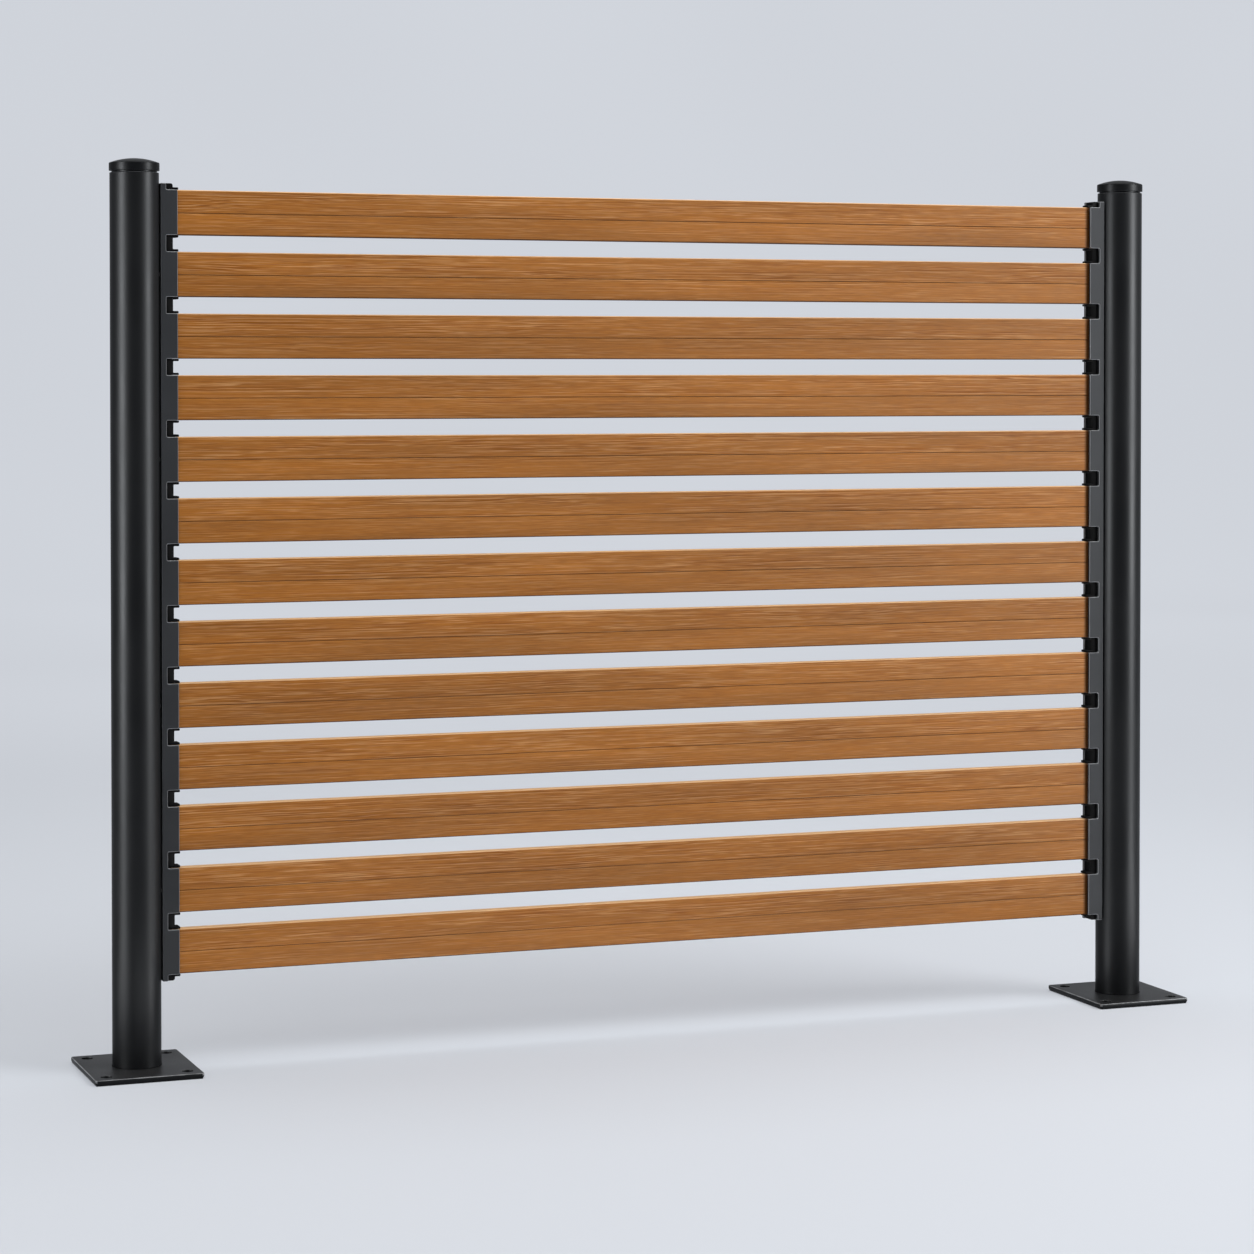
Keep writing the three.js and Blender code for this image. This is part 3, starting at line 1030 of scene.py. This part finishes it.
@dataclass
class Wardrobe:
    """Every finish of the screen, as materials."""

    tube: bpy.types.Material
    cap: bpy.types.Material
    plate: bpy.types.Material
    weld: bpy.types.Material
    rail: bpy.types.Material
    board: bpy.types.Material
    spacer: bpy.types.Material
    screw: bpy.types.Material

    @classmethod
    def stocked(cls, effects: Effects, boards: "BoardRow") -> "Wardrobe":
        """Builds all the finishes.

        Args:
            effects: the shared node groups.
            boards: where the boards lie, which the timber look follows.

        Returns:
            The wardrobe.
        """
        return cls(
            # The tube: painted highlight along its edges and on its top end.
            tube=PowderCoat("tube_coat", colour=(0.0072, 0.0076, 0.0082), lit_ends=0.9,
                            worn_colour=(0.06, 0.062, 0.065)).material(effects),
            # The cap: painted highlight along its edges.
            cap=PowderCoat("cap_coat", colour=(0.0066, 0.007, 0.0076), specular=0.03,
                           roughness=0.36, dust=0.01, wear=0.4,
                           worn_colour=(0.06, 0.062, 0.065)).material(effects),
            # The plate: painted highlight along its rounded top edges and corners.
            plate=PowderCoat("plate_coat", colour=(0.005, 0.0053, 0.0058), specular=0.08,
                             roughness=0.42, square_cut=True, wear=0.9, dust=0.25,
                             worn_colour=(0.3, 0.306, 0.312)).material(effects),
            # The weld: painted shade, darker than the tube and with no highlight, so the foot
            # reads as a dark line.
            weld=PowderCoat("weld_coat", colour=(0.005, 0.0052, 0.0056), wear=0.0, dust=0.04,
                            specular=0.01, worn_colour=(0.045, 0.046, 0.048)).material(effects),
            # The rail: painted highlight lines along its rounded edges, dimmed on edges that face
            # +X.
            rail=PowderCoat("rail_coat", colour=(0.0345, 0.036, 0.0385), specular=0.032,
                            wear=1.0, wear_evenness=0.8, square_cut=True, kept_right=0.6,
                            worn_colour=(0.36, 0.368, 0.38)).material(effects),
            # The boards: painted highlight on edges and upward faces, painted shade below and at
            # the +X ends.
            board=TimberLook("timber_look", pale=(0.44, 0.208, 0.068),
                             middle=(0.308, 0.11, 0.0145), dark=(0.215, 0.06, 0.002),
                             warm=(0.335, 0.111, 0.008), edge_colour=(0.8, 0.5, 0.26),
                             under_colour=(0.05, 0.016, 0.002), first_edge=boards.low.z,
                             pitch=boards.pitch).material(effects),
            spacer=MouldedNylon("black_nylon", colour=(0.0028, 0.0028, 0.003)).material(effects),
            screw=StainlessSteel("stainless", colour=(0.55, 0.56, 0.57)).material(effects))


def hang(piece: bpy.types.Object, material: bpy.types.Material, slot: Slot,
         *nodes: str) -> bpy.types.Object:
    """Dresses a finished piece and ties it to the frame.

    Args:
        piece: the finished object.
        material: its finish.
        slot: the record's slot of that finish; not used.
        nodes: the nodes that it stands for.

    Returns:
        The same object.
    """
    piece.data.materials.clear()
    piece.data.materials.append(material)
    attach(piece, BODY)
    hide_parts(*nodes)
    LOG.info("%s: %d faces", piece.name, len(piece.data.polygons))
    return piece


# ---- Posts ------------------------------------------------------------------------------------


@dataclass
class PostAssembly:
    """A round post with its domed cap, its base plate and the weld round its foot."""

    side: Side
    wardrobe: Wardrobe
    workshop: Workshop
    wall: float = 2.5 * MM
    tube_steps: int = 128
    cap_steps: int = 96
    cap_wall: float = 2.4 * MM
    line_depth: float = 0.9 * MM
    rim_height: float = 11.0 * MM
    seam_ease: float = 0.9 * MM
    dome_rise: float = 6.5 * MM
    dome_start: float = 0.3 * MM
    dome_inset: float = 0.25 * MM
    dome_steps: int = 24
    neck_inset: float = 3.5 * MM
    neck_height: float = 1.2 * MM
    fit_gap: float = 0.3 * MM
    plate_corner: float = 4.0 * MM
    weld_fullness: float = 0.35
    weld_beads: int = 46
    bead_depth: float = 0.06 * MM
    plate_edge: float = 1.4 * MM
    plate_underside: float = 1.7 * MM
    anchor_sink: float = 0.5 * MM
    anchor_radius: float = 7.6 * MM
    anchor_x: float = 54.0 * MM
    anchor_y: float = 63.0 * MM

    def __post_init__(self) -> None:
        """Reads the post's place and size from the frame."""
        self.low, self.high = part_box(self.node("post"))
        self.axis_x = (self.low.x + self.high.x) / 2
        self.radius = (self.high.x - self.low.x) / 2

    def node(self, part: str) -> str:
        """The name of one of this side's nodes."""
        return f"{self.side.label}_{part}"

    def build(self, drillings: Sequence[Vector], drill: bpy.types.Mesh) -> None:
        """Builds and dresses the whole assembly.

        Args:
            drillings: where the rail's screws enter the tube.
            drill: the shape that clears each screw.
        """
        coat = self.wardrobe.tube
        tube = loose_object(self.node("post_tube"), self.tube())
        self.workshop.apply(tube, Spread.MARKS, Deed.CUT, drill, coat, marks=drillings)
        hang(tube, coat, Slot.POST, self.node("post"))
        cap = loose_object(self.node("domed_cap"), self.cap())
        hang(cap, self.wardrobe.cap, Slot.POST, self.node("post_cap"))
        plate = loose_object(self.node("foot_plate"), self.plate())
        hang(plate, self.wardrobe.plate, Slot.POST, self.node("base_plate"))
        weld = loose_object(self.node("weld_bead"), self.weld())
        hang(weld, self.wardrobe.weld, Slot.POST, self.node("foot_weld"))

    def tube(self) -> bpy.types.Mesh:
        """Turns the tube with eased ends.

        Returns:
            The tube's mesh.
        """
        inner = self.radius - self.wall
        profile = rounded([
            Corner(inner, self.low.z, 0.3 * MM), Corner(self.radius, self.low.z, 0.4 * MM),
            Corner(self.radius, self.high.z, 0.9 * MM), Corner(inner, self.high.z, 0.4 * MM)], 4)
        return turned(self.node("post_tube"), profile, self.tube_steps, self.axis_x)

    def cap(self) -> bpy.types.Mesh:
        """Turns the cap: a low dome, a rim a little wider than the tube, and a skirt inside.

        Returns:
            The cap's mesh.
        """
        low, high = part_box(self.node("post_cap"))
        rim = (high.x - low.x) / 2
        rim_top = high.z - self.dome_rise
        seat = rim_top - self.rim_height - self.neck_height
        rim_bottom = rim_top - self.rim_height + self.seam_ease
        skirt = self.radius - self.wall - self.fit_gap
        neck = rim - self.neck_inset
        thick = self.cap_wall
        shell = rounded([
            Corner(skirt - thick, rim_top - 2 * thick, 1.5 * MM),
            Corner(skirt - thick, low.z, 0.6 * MM), Corner(skirt, low.z, 1.0 * MM),
            Corner(skirt, seat), Corner(neck, seat, 0.2 * MM), Corner(neck, rim_bottom),
            Corner(rim, rim_bottom, 0.35 * MM), Corner(rim, rim_top - 0.4 * MM, 0.3 * MM),
            Corner(rim - self.line_depth, rim_top - 0.1 * MM, 0.1 * MM),
            Corner(rim - self.line_depth, rim_top + self.dome_start)], 5)
        edge = rim - self.dome_inset
        rise = self.dome_rise - self.dome_start
        ball = (edge ** 2 + rise ** 2) / (2 * rise)
        sweep = math.asin(edge / ball)
        turns = (sweep * (1 - step / self.dome_steps) for step in range(self.dome_steps))
        dome = [Vector((ball * math.sin(t), high.z - ball * (1 - math.cos(t)))) for t in turns]
        inside = Vector((0.0, rim_top - thick))
        return turned(self.node("domed_cap"), [inside, *shell, *dome, Vector((0.0, high.z))],
                      self.cap_steps, self.axis_x)

    def plate(self) -> bpy.types.Mesh:
        """Cuts the plate with its rounded corners and four anchor holes.

        Returns:
            The plate's mesh.
        """
        low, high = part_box(self.node("base_plate"))
        under = self.plate_underside
        ease = self.plate_edge
        arc = [(high.z - ease * (1 - math.sin(t)), ease * (1 - math.cos(t)))
               for t in (step * math.pi / 8 for step in range(5))]
        layers = []
        for height, inset in [(low.z, under), (low.z + 2 * under, 0.0), *arc]:
            edge = rounded([Corner(x, y, self.plate_corner - inset) for x, y in (
                (low.x + inset, low.y + inset), (high.x - inset, low.y + inset),
                (high.x - inset, high.y - inset), (low.x + inset, high.y - inset))], 6)
            widened = max(0.0, self.anchor_sink - (high.z - height))
            holes = [circle(self.axis_x + x, y, self.anchor_radius + widened)
                     for x in (-self.anchor_x, self.anchor_x)
                     for y in (-self.anchor_y, self.anchor_y)]
            layers.append((height, [edge, *holes]))
        # The plate's low sides and its holes get no painted edge highlight.
        sheltered = [1.0, 1.0, *(0.0 for _ in arc)]
        return layered(self.node("foot_plate"), layers, upright, sheltered)

    def weld(self) -> bpy.types.Mesh:
        """Turns the weld's fillet with the faint ripple of its beads.

        Returns:
            The weld's mesh.
        """
        low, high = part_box(self.node("foot_weld"))
        inner = self.radius + self.fit_gap
        leg = self.weld_fullness * ((high.x - low.x) / 2 - inner)
        fillet = [Vector((inner + leg * (1 - math.sin(t)), low.z + leg * (1 - math.cos(t))))
                  for t in (step * math.pi / 12 for step in range(7))]
        return turned(self.node("weld_bead"), [Vector((inner, low.z)), *fillet],
                      4 * self.weld_beads, self.axis_x,
                      lambda angle: -self.bead_depth * (1 + math.cos(self.weld_beads * angle)))


# ---- Rails ------------------------------------------------------------------------------------


@dataclass
class BoardRow:
    """Where the boards lie, read from the frame."""

    count: int = 13

    def __post_init__(self) -> None:
        """Reads the top and bottom boards."""
        self.low, self.lowest_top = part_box(self.node(self.count))
        self.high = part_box(self.node(1))[1]
        self.pitch = (self.high.z - self.lowest_top.z) / (self.count - 1)
        self.height = self.lowest_top.z - self.low.z
        self.gap = self.pitch - self.height

    def node(self, number: int) -> str:
        """The name of a board's node, where the top board is number 1."""
        return f"slat_{number:02d}"

    def bottom(self, number: int) -> float:
        """The height of a board's lower edge."""
        return self.high.z - self.height - (number - 1) * self.pitch


@dataclass
class RailAssembly:
    """A notched rail with its spacers, end stops and screws."""

    side: Side
    post: PostAssembly
    boards: BoardRow
    wardrobe: Wardrobe
    workshop: Workshop
    web: float = 7.2 * MM
    flange: float = 4.5 * MM
    back_step: float = 3.3 * MM
    notch_corner: float = 1.6 * MM
    tab_flare: float = 0.8 * MM
    edge: float = 1.0 * MM
    lip: float = 3.0 * MM
    lip_round: float = 1.2 * MM
    spacer_body: float = 9.7 * MM
    stop_corner: float = 3.0 * MM
    moulded_edge: float = 0.4 * MM
    fit_gap: float = 0.3 * MM
    head_radius: float = 5.8 * MM
    head_height: float = 3.4 * MM
    head_rim: float = 0.6 * MM
    shank_radius: float = 3.0 * MM
    screw_length: float = 20.0 * MM
    point_height: float = 1.6 * MM
    socket_radius: float = 2.0 * MM
    socket_depth: float = 2.2 * MM
    drill_play: float = 0.45 * MM
    screw_boards: tuple[int, ...] = (2, 5, 9, 12)

    def __post_init__(self) -> None:
        """Reads the rail's place and size from the frame, as distances from the post's axis."""
        self.low, self.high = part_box(self.node("rail"))
        ends = sorted(self.out(x) for x in (self.low.x, self.high.x))
        self.web_outer, self.tab_edge = ends
        self.web_inner = self.web_outer + self.web
        self.back_edge = self.tab_edge - self.back_step
        spacer_low, spacer_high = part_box(self.node("spacer_01"))
        self.tip = max(self.out(spacer_low.x), self.out(spacer_high.x))
        self.cavity = (spacer_low.y, spacer_high.y)

    def node(self, part: str) -> str:
        """The name of one of this side's nodes."""
        return f"{self.side.label}_{part}"

    def out(self, x: float) -> float:
        """How far an X place is from the post's axis, towards the middle."""
        return self.side.inward * (x - self.post.axis_x)

    def across(self, out: float) -> float:
        """The X place at a distance from the post's axis, towards the middle."""
        return self.post.axis_x + self.side.inward * out

    def corners(self, *corners: tuple[float, ...]) -> list[Corner]:
        """Corners given as distance out, then Y or height, then radius."""
        return [Corner(self.across(out), *rest) for out, *rest in corners]

    def build(self) -> None:
        """Builds and dresses the rail, its spacers, its stops and its screws."""
        coat = self.wardrobe.rail
        rail = loose_object(self.node("notched_rail"), self.channel())
        boards = self.boards
        self.workshop.apply(rail, Spread.ROW, Deed.CUT, self.notch(), coat,
                            count=boards.count + 1, pitch=boards.pitch)
        self.workshop.apply(rail, Spread.MARKS, Deed.CUT, self.screw_clearance(), coat,
                            marks=self.screw_places())
        hang(ease_edges(rail, self.edge), coat, Slot.RAIL, self.node("rail"))
        nylon = self.wardrobe.spacer
        numbers = range(1, boards.count)
        spacers = self.workshop.copies(
            self.node("gap_spacers"), spread=Spread.ROW, shape=self.spacer(), material=nylon,
            count=boards.count - 1, pitch=boards.pitch)
        hang(spacers, nylon, Slot.SPACER, *(self.node(f"spacer_{n:02d}") for n in numbers))
        for part, upward in (("top_stop", 1.0), ("bottom_stop", -1.0)):
            stop = loose_object(self.node(f"channel_{part}"), self.stop(part, upward))
            hang(ease_edges(stop, self.moulded_edge), nylon, Slot.SPACER, self.node(part))
        steel = self.wardrobe.screw
        screws = self.workshop.copies(
            self.node("rail_screws"), spread=Spread.MARKS, shape=self.screw(), material=steel,
            marks=self.screw_places())
        nodes = (self.node(f"rail_screw_{n + 1}") for n in range(len(self.screw_boards)))
        hang(screws, steel, Slot.SCREW, *nodes)

    def channel(self) -> bpy.types.Mesh:
        """Draws the rail's channel before its notches are cut.

        Returns:
            The channel's mesh.
        """
        front, back = self.low.y, self.high.y
        inner_front, inner_back = front + self.flange, back - self.flange
        section = rounded(self.corners(
            (self.web_outer, front), (self.tab_edge, front), (self.tab_edge, inner_front),
            (self.web_inner, inner_front), (self.web_inner, inner_back),
            (self.back_edge, inner_back), (self.back_edge, back), (self.web_outer, back)))
        return prism(self.node("notched_rail"), section, self.low.z, self.high.z, upright)

    def notch(self) -> bpy.types.Mesh:
        """Draws the notch under the lowest board, the first of the row of cuts.

        Returns:
            The shape that is cut away.
        """
        top = self.boards.low.z
        bottom = top - self.boards.gap
        mouth = self.tab_edge + self.tab_flare
        outline = rounded(self.corners(
            (self.web_inner, bottom, self.notch_corner), (self.tab_edge - self.tab_flare, bottom),
            (mouth, bottom - 2 * self.tab_flare), (mouth, top + 2 * self.tab_flare),
            (self.tab_edge - self.tab_flare, top), (self.web_inner, top, self.notch_corner)), 6)
        front = self.low.y - 5 * MM
        back = self.low.y + self.flange + 0.01 * MM
        return prism("notch", outline, front, back, facing)

    def spacer(self) -> bpy.types.Mesh:
        """Draws the lowest spacer: a body in the channel with a lip under and over it.

        Returns:
            The spacer's mesh.
        """
        bottom = self.boards.lowest_top.z + self.fit_gap
        top = bottom + self.boards.gap - 2 * self.fit_gap
        web = self.web_inner + self.fit_gap
        body = web + self.spacer_body
        outline = rounded(self.corners(
            (web, bottom), (self.tip, bottom, 0.5 * MM),
            (self.tip, bottom + self.lip, self.lip_round), (body, bottom + self.lip, 1.0 * MM),
            (body, top - self.lip, 1.0 * MM), (self.tip, top - self.lip, self.lip_round),
            (self.tip, top, 0.5 * MM), (web, top)), 5)
        shape = loose_object("spacer", prism("spacer", outline, *self.cavity, facing))
        mesh = ease_edges(shape, self.moulded_edge).data
        remove_object(shape)
        return mesh

    def stop(self, part: str, upward: float) -> bpy.types.Mesh:
        """Draws an end stop, over the top board or, turned over, under the bottom one.

        Args:
            part: the stop's node, without its side.
            upward: 1 for the top stop and -1 for the bottom one.

        Returns:
            The stop's mesh.
        """
        low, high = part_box(self.node(part))
        base = low.z if upward > 0 else high.z
        tall = high.z - low.z
        web = self.web_inner + self.fit_gap
        body = web + self.spacer_body
        outline = rounded(self.corners(
            (web, base), (self.tip, base, 0.5 * MM),
            (self.tip, base + upward * self.lip, self.lip_round),
            (body, base + upward * self.lip, 0.8 * MM),
            (body, base + upward * tall, self.stop_corner), (web, base + upward * tall)), 6)
        return prism(self.node(part), outline, *self.cavity, facing)

    def screw_places(self) -> list[Vector]:
        """Finds the middle of each screw's head, on the web's inner face.

        Returns:
            The places, from the top screw down.
        """
        x = self.across(self.web_inner - self.fit_gap)
        middle = self.boards.height / 2
        return [Vector((x, 0.0, self.boards.bottom(n) + middle)) for n in self.screw_boards]

    def lay_down(self, mesh: bpy.types.Mesh) -> bpy.types.Mesh:
        """Turns a screw drawn head down so that its head faces the middle of the screen."""
        mesh.transform(Matrix.Rotation(-self.side.inward * math.pi / 2, 4, "Y"))
        return mesh

    def screw(self) -> bpy.types.Mesh:
        """Turns a countersunk screw with a six-sided socket.

        Returns:
            The screw's mesh, with the middle of its head at the origin.
        """
        profile = rounded([
            Corner(0.0, 0.0), Corner(self.head_radius, 0.0, 0.15 * MM),
            Corner(self.head_radius, self.head_rim), Corner(self.shank_radius, self.head_height),
            Corner(self.shank_radius, self.screw_length - self.point_height),
            Corner(self.shank_radius - self.point_height, self.screw_length),
            Corner(0.0, self.screw_length)], 3)
        blank = loose_object("screw", turned("screw", profile, 48))
        above = -1.0 * MM
        socket = turned("socket", [Vector(p) for p in (
            (0.0, above), (self.socket_radius, above), (self.socket_radius, self.socket_depth),
            (0.0, self.socket_depth))], 6)
        self.workshop.apply(blank, Spread.MARKS, Deed.CUT, socket, self.wardrobe.screw,
                            marks=[Vector((0.0, 0.0, 0.0))])
        mesh = blank.data
        remove_object(blank)
        return self.lay_down(mesh)

    def screw_clearance(self) -> bpy.types.Mesh:
        """Draws the drilled and countersunk hole that a screw goes through.

        Returns:
            The shape that is cut away.
        """
        wide = self.head_radius + self.drill_play
        narrow = self.shank_radius + self.drill_play
        end = self.screw_length + 2.0 * MM
        profile = [Vector(p) for p in (
            (0.0, -self.web), (wide, -self.web), (wide, self.head_rim),
            (narrow, self.head_height), (narrow, end), (0.0, end))]
        return self.lay_down(turned("screw_clearance", profile, 32))


# ---- Boards -----------------------------------------------------------------------------------


@dataclass
class BoardSet:
    """The thirteen boards, each with a fine groove along both faces."""

    row: BoardRow
    wardrobe: Wardrobe
    workshop: Workshop
    edge_radius: float = 1.6 * MM
    groove_width: float = 1.6 * MM
    groove_depth: float = 0.9 * MM
    groove_round: float = 0.3 * MM

    def build(self) -> None:
        """Builds and dresses the boards."""
        boards = self.workshop.copies(
            "timber_boards", spread=Spread.ROW, shape=self.board(),
            material=self.wardrobe.board, count=self.row.count, pitch=self.row.pitch)
        nodes = (self.row.node(n) for n in range(1, self.row.count + 1))
        hang(boards, self.wardrobe.board, Slot.BOARD, *nodes)

    def board(self) -> bpy.types.Mesh:
        """Draws the lowest board.

        Returns:
            The board's mesh.
        """
        low, high = self.row.low, self.row.lowest_top
        line = low.z + GROOVE_HEIGHT
        half = self.groove_width / 2
        radius, lip = self.edge_radius, self.groove_round
        root = 0.2 * MM
        section = rounded([
            Corner(low.y, low.z, radius), Corner(high.y, low.z, radius),
            Corner(high.y, line - half, lip), Corner(high.y - self.groove_depth, line, root),
            Corner(high.y, line + half, lip), Corner(high.y, high.z, radius),
            Corner(low.y, high.z, radius), Corner(low.y, line + half, lip),
            Corner(low.y + self.groove_depth, line, root), Corner(low.y, line - half, lip)], 4)
        return prism("board", section, low.x, high.x, lengthways)


# ---- Studio and camera ------------------------------------------------------------------------


class Task(Enum):
    """What a lamp is for: plain light, matt fill, or nothing but a highlight on satin."""

    LIGHT = "light"
    FILL = "fill"
    HIGHLIGHT = "highlight"


@dataclass(frozen=True)
class SoftLight:
    """A large soft lamp that looks at a point of the screen."""

    name: str
    place: tuple[float, float, float]
    aim: tuple[float, float, float]
    width: float
    height: float
    radiance: float
    task: Task = Task.LIGHT
    turn: float = 0.0

    def build(self) -> None:
        """Sets up the lamp."""
        lamp = bpy.data.lights.new(self.name, "AREA")
        lamp.shape = "RECTANGLE"
        lamp.size = self.width
        lamp.size_y = self.height
        lamp.energy = self.radiance * self.width * self.height * math.pi
        stand = bpy.data.objects.new(self.name, lamp)
        stand.location = self.place
        look = Vector(self.aim) - Vector(self.place)
        turn = Matrix.Rotation(self.turn, 4, look.normalized())
        aimed = look.to_track_quat("-Z", "Y").to_matrix().to_4x4()
        stand.rotation_euler = (turn @ aimed).to_euler()
        stand.visible_camera = False
        stand.visible_glossy = self.task is not Task.FILL
        stand.visible_diffuse = self.task is not Task.HIGHLIGHT
        bpy.context.scene.collection.objects.link(stand)


@dataclass(frozen=True)
class Studio:
    """A round pale sweep with highlight cards, matt fills and a soft lamp overhead."""

    radius: float = 12.5
    cove: float = 3.5
    wall_height: float = 8.0
    paper: Colour = (0.605, 0.632, 0.676)
    backdrop: Colour = (0.632, 0.66, 0.712)
    sky_strength: float = 0.6
    sky_colour: Colour = (1.0, 1.0, 1.0)
    card_height: float = 12.0 * MM

    def build(self) -> None:
        """Builds the sweep, the sky and the lamps."""
        self.sweep()
        world = bpy.data.worlds.new("studio_sky")
        world.use_nodes = True
        sky = world.node_tree.nodes["Background"]
        sky.inputs["Color"].default_value = (*self.sky_colour, 1.0)
        sky.inputs["Strength"].default_value = self.sky_strength
        bpy.context.scene.world = world
        lamps = self.lamps()
        for lamp in lamps:
            lamp.build()
        LOG.info("studio: sweep, sky and %d lamps", len(lamps))

    def sweep(self) -> bpy.types.Object:
        """Turns the floor, cove and wall in one sheet.

        Returns:
            The sweep.
        """
        flat = self.radius - self.cove
        profile = [Vector((flat * share, 0.0)) for share in (0.15, 0.4, 0.7, 1.0)]
        for step in range(1, 17):
            angle = step * math.pi / 32
            profile.append(Vector((flat + self.cove * math.sin(angle),
                                   self.cove * (1 - math.cos(angle)))))
        profile.append(Vector((self.radius, self.wall_height)))
        sketch = bmesh.new()
        steps = 96
        rings = [[sketch.verts.new((r * math.cos(s * math.tau / steps),
                                    r * math.sin(s * math.tau / steps), z))
                  for s in range(steps)] for r, z in profile]
        middle = sketch.verts.new((0.0, 0.0, 0.0))
        for step in range(steps):
            following = (step + 1) % steps
            sketch.faces.new((middle, rings[0][step], rings[0][following]))
            for inner, outer in zip(rings, rings[1:]):
                sketch.faces.new((inner[step], outer[step], outer[following], inner[following]))
        mesh = bpy.data.meshes.new("studio_sweep")
        sketch.to_mesh(mesh)
        sketch.free()
        sweep = loose_object("studio_sweep", smooth(mesh))
        sweep.data.materials.append(self.paper_material())
        return sweep

    def paper_material(self) -> bpy.types.Material:
        """Builds the sweep's paper, whose far parts are seen as a glow with painted shade towards
        -X.

        Returns:
            The material.
        """
        material = bpy.data.materials.new("studio_paper")
        material.use_nodes = True
        sheet = NodeSheet(material.node_tree)
        shader = material.node_tree.nodes["Principled BSDF"]
        place = sheet.place()
        cloud = sheet.noise(place, detail=1.0, scale=0.35)
        for label, value in (("Base Color", self.paper), ("Roughness", 0.9),
                             ("Specular IOR Level", 0.1)):
            sheet.feed(shader.inputs[label], value)
        # Painted shade: the glow weakens towards -X, with a faint random cloud.
        tone = sheet.math("MULTIPLY", sheet.ramp(cloud, 0.2, 0.8, 0.98, 1.02),
                          sheet.ramp(sheet.split(place)["X"], -2.4, 1.6, 0.9, 1.02))
        glow = sheet.add("ShaderNodeEmission", {"Color": self.backdrop, "Strength": tone})
        rays = sheet.add("ShaderNodeLightPath").outputs
        seen = sheet.math("ADD", rays["Is Camera Ray"], rays["Is Glossy Ray"])
        seen = sheet.math("ADD", seen, rays["Is Transmission Ray"], clamp=True)
        distance = sheet.add("ShaderNodeVectorMath", {0: place}, operation="LENGTH")
        share = sheet.ramp(distance.outputs["Value"], 1.2, 5.0, 0.4, 0.95)
        mixed = sheet.add("ShaderNodeMixShader", {
            0: sheet.math("MULTIPLY", seen, share), 1: shader.outputs[0], 2: glow.outputs[0]})
        output = material.node_tree.nodes["Material Output"]
        sheet.feed(output.inputs["Surface"], mixed.outputs[0])
        return material

    def lamps(self) -> list[SoftLight]:
        """Places the lamps.

        Returns:
            Two tall highlight strips, four highlight cards on the floor, two fills and a soft
            lamp overhead.
        """
        strips = [
            SoftLight("left_strip", (-3.2, -0.75, 1.11), (0.0, 0.0, 1.11), 0.8, 2.18, 85.0,
                      Task.HIGHLIGHT),
            SoftLight("right_strip", (3.9, -3.2, 1.71), (0.0, 0.0, 1.71), 1.45, 3.38, 93.0,
                      Task.HIGHLIGHT),
        ]
        for name, x, y, length, width, radiance, turn in (
                ("left_outer", -1.89, -0.35, 1.9, 0.36, 18.0, 17.0),
                ("left_inner", 0.04, -0.545, 1.4, 0.12, 15.0, -35.0),
                ("right_inner", -0.144, -0.179, 1.5, 0.1, 19.0, 11.5),
                ("right_outer", 1.64, -0.9, 1.9, 0.36, 26.0, -45.0)):
            strips.append(SoftLight(f"{name}_card", (x, y, self.card_height), (x, y, 1.0),
                                    length, width, radiance, Task.HIGHLIGHT,
                                    math.radians(turn)))
        return strips + [
            SoftLight("left_fill", (-2.9, -3.6, 4.2), (0.0, 0.0, 1.1), 3.2, 3.2, 1.4, Task.FILL),
            SoftLight("right_fill", (3.3, -2.6, 3.9), (0.5, 0.0, 1.1), 3.0, 3.0, 6.7, Task.FILL),
            SoftLight("overhead", (0.0, 0.5, 4.6), (0.0, 0.0, 0.0), 4.5, 2.5, 2.4),
        ]


@dataclass(frozen=True)
class PhotoCamera:
    """The photograph's camera, found by fitting the posts, slats and plates."""

    place: tuple[float, float, float] = (-1.67707, -4.34083, 0.93234)
    heading: float = math.radians(20.649)
    dip: float = math.radians(1.21)
    frame_pixels: float = 1254.0
    focal_pixels: float = 3315.68
    axis_row_pixels: float = 439.71
    sensor: float = 36.0

    def build(self) -> None:
        """Sets up the scene's camera."""
        camera = bpy.data.cameras.new("photo_camera")
        camera.sensor_width = self.sensor
        camera.lens = self.focal_pixels / self.frame_pixels * self.sensor
        camera.shift_y = (self.axis_row_pixels - self.frame_pixels / 2) / self.frame_pixels
        stand = bpy.data.objects.new("photo_camera", camera)
        stand.location = self.place
        stand.rotation_euler = (math.pi / 2 - self.dip, 0.0, -self.heading)
        bpy.context.scene.collection.objects.link(stand)
        bpy.context.scene.camera = stand


def main() -> None:
    """Builds the screen, piece by piece, and the studio round it."""
    logging.basicConfig(level=logging.INFO, format="%(name)s: %(message)s")
    bpy.context.scene.view_settings.view_transform = "Standard"
    PhotoCamera().build()
    workshop = Workshop()
    boards = BoardRow()
    wardrobe = Wardrobe.stocked(Effects(), boards)
    for side in Side:
        post = PostAssembly(side, wardrobe, workshop)
        rail = RailAssembly(side, post, boards, wardrobe, workshop)
        post.build(rail.screw_places(), rail.screw_clearance())
        rail.build()
    BoardSet(boards, wardrobe, workshop).build()
    Studio().build()


if __name__ == "__main__":
    main()
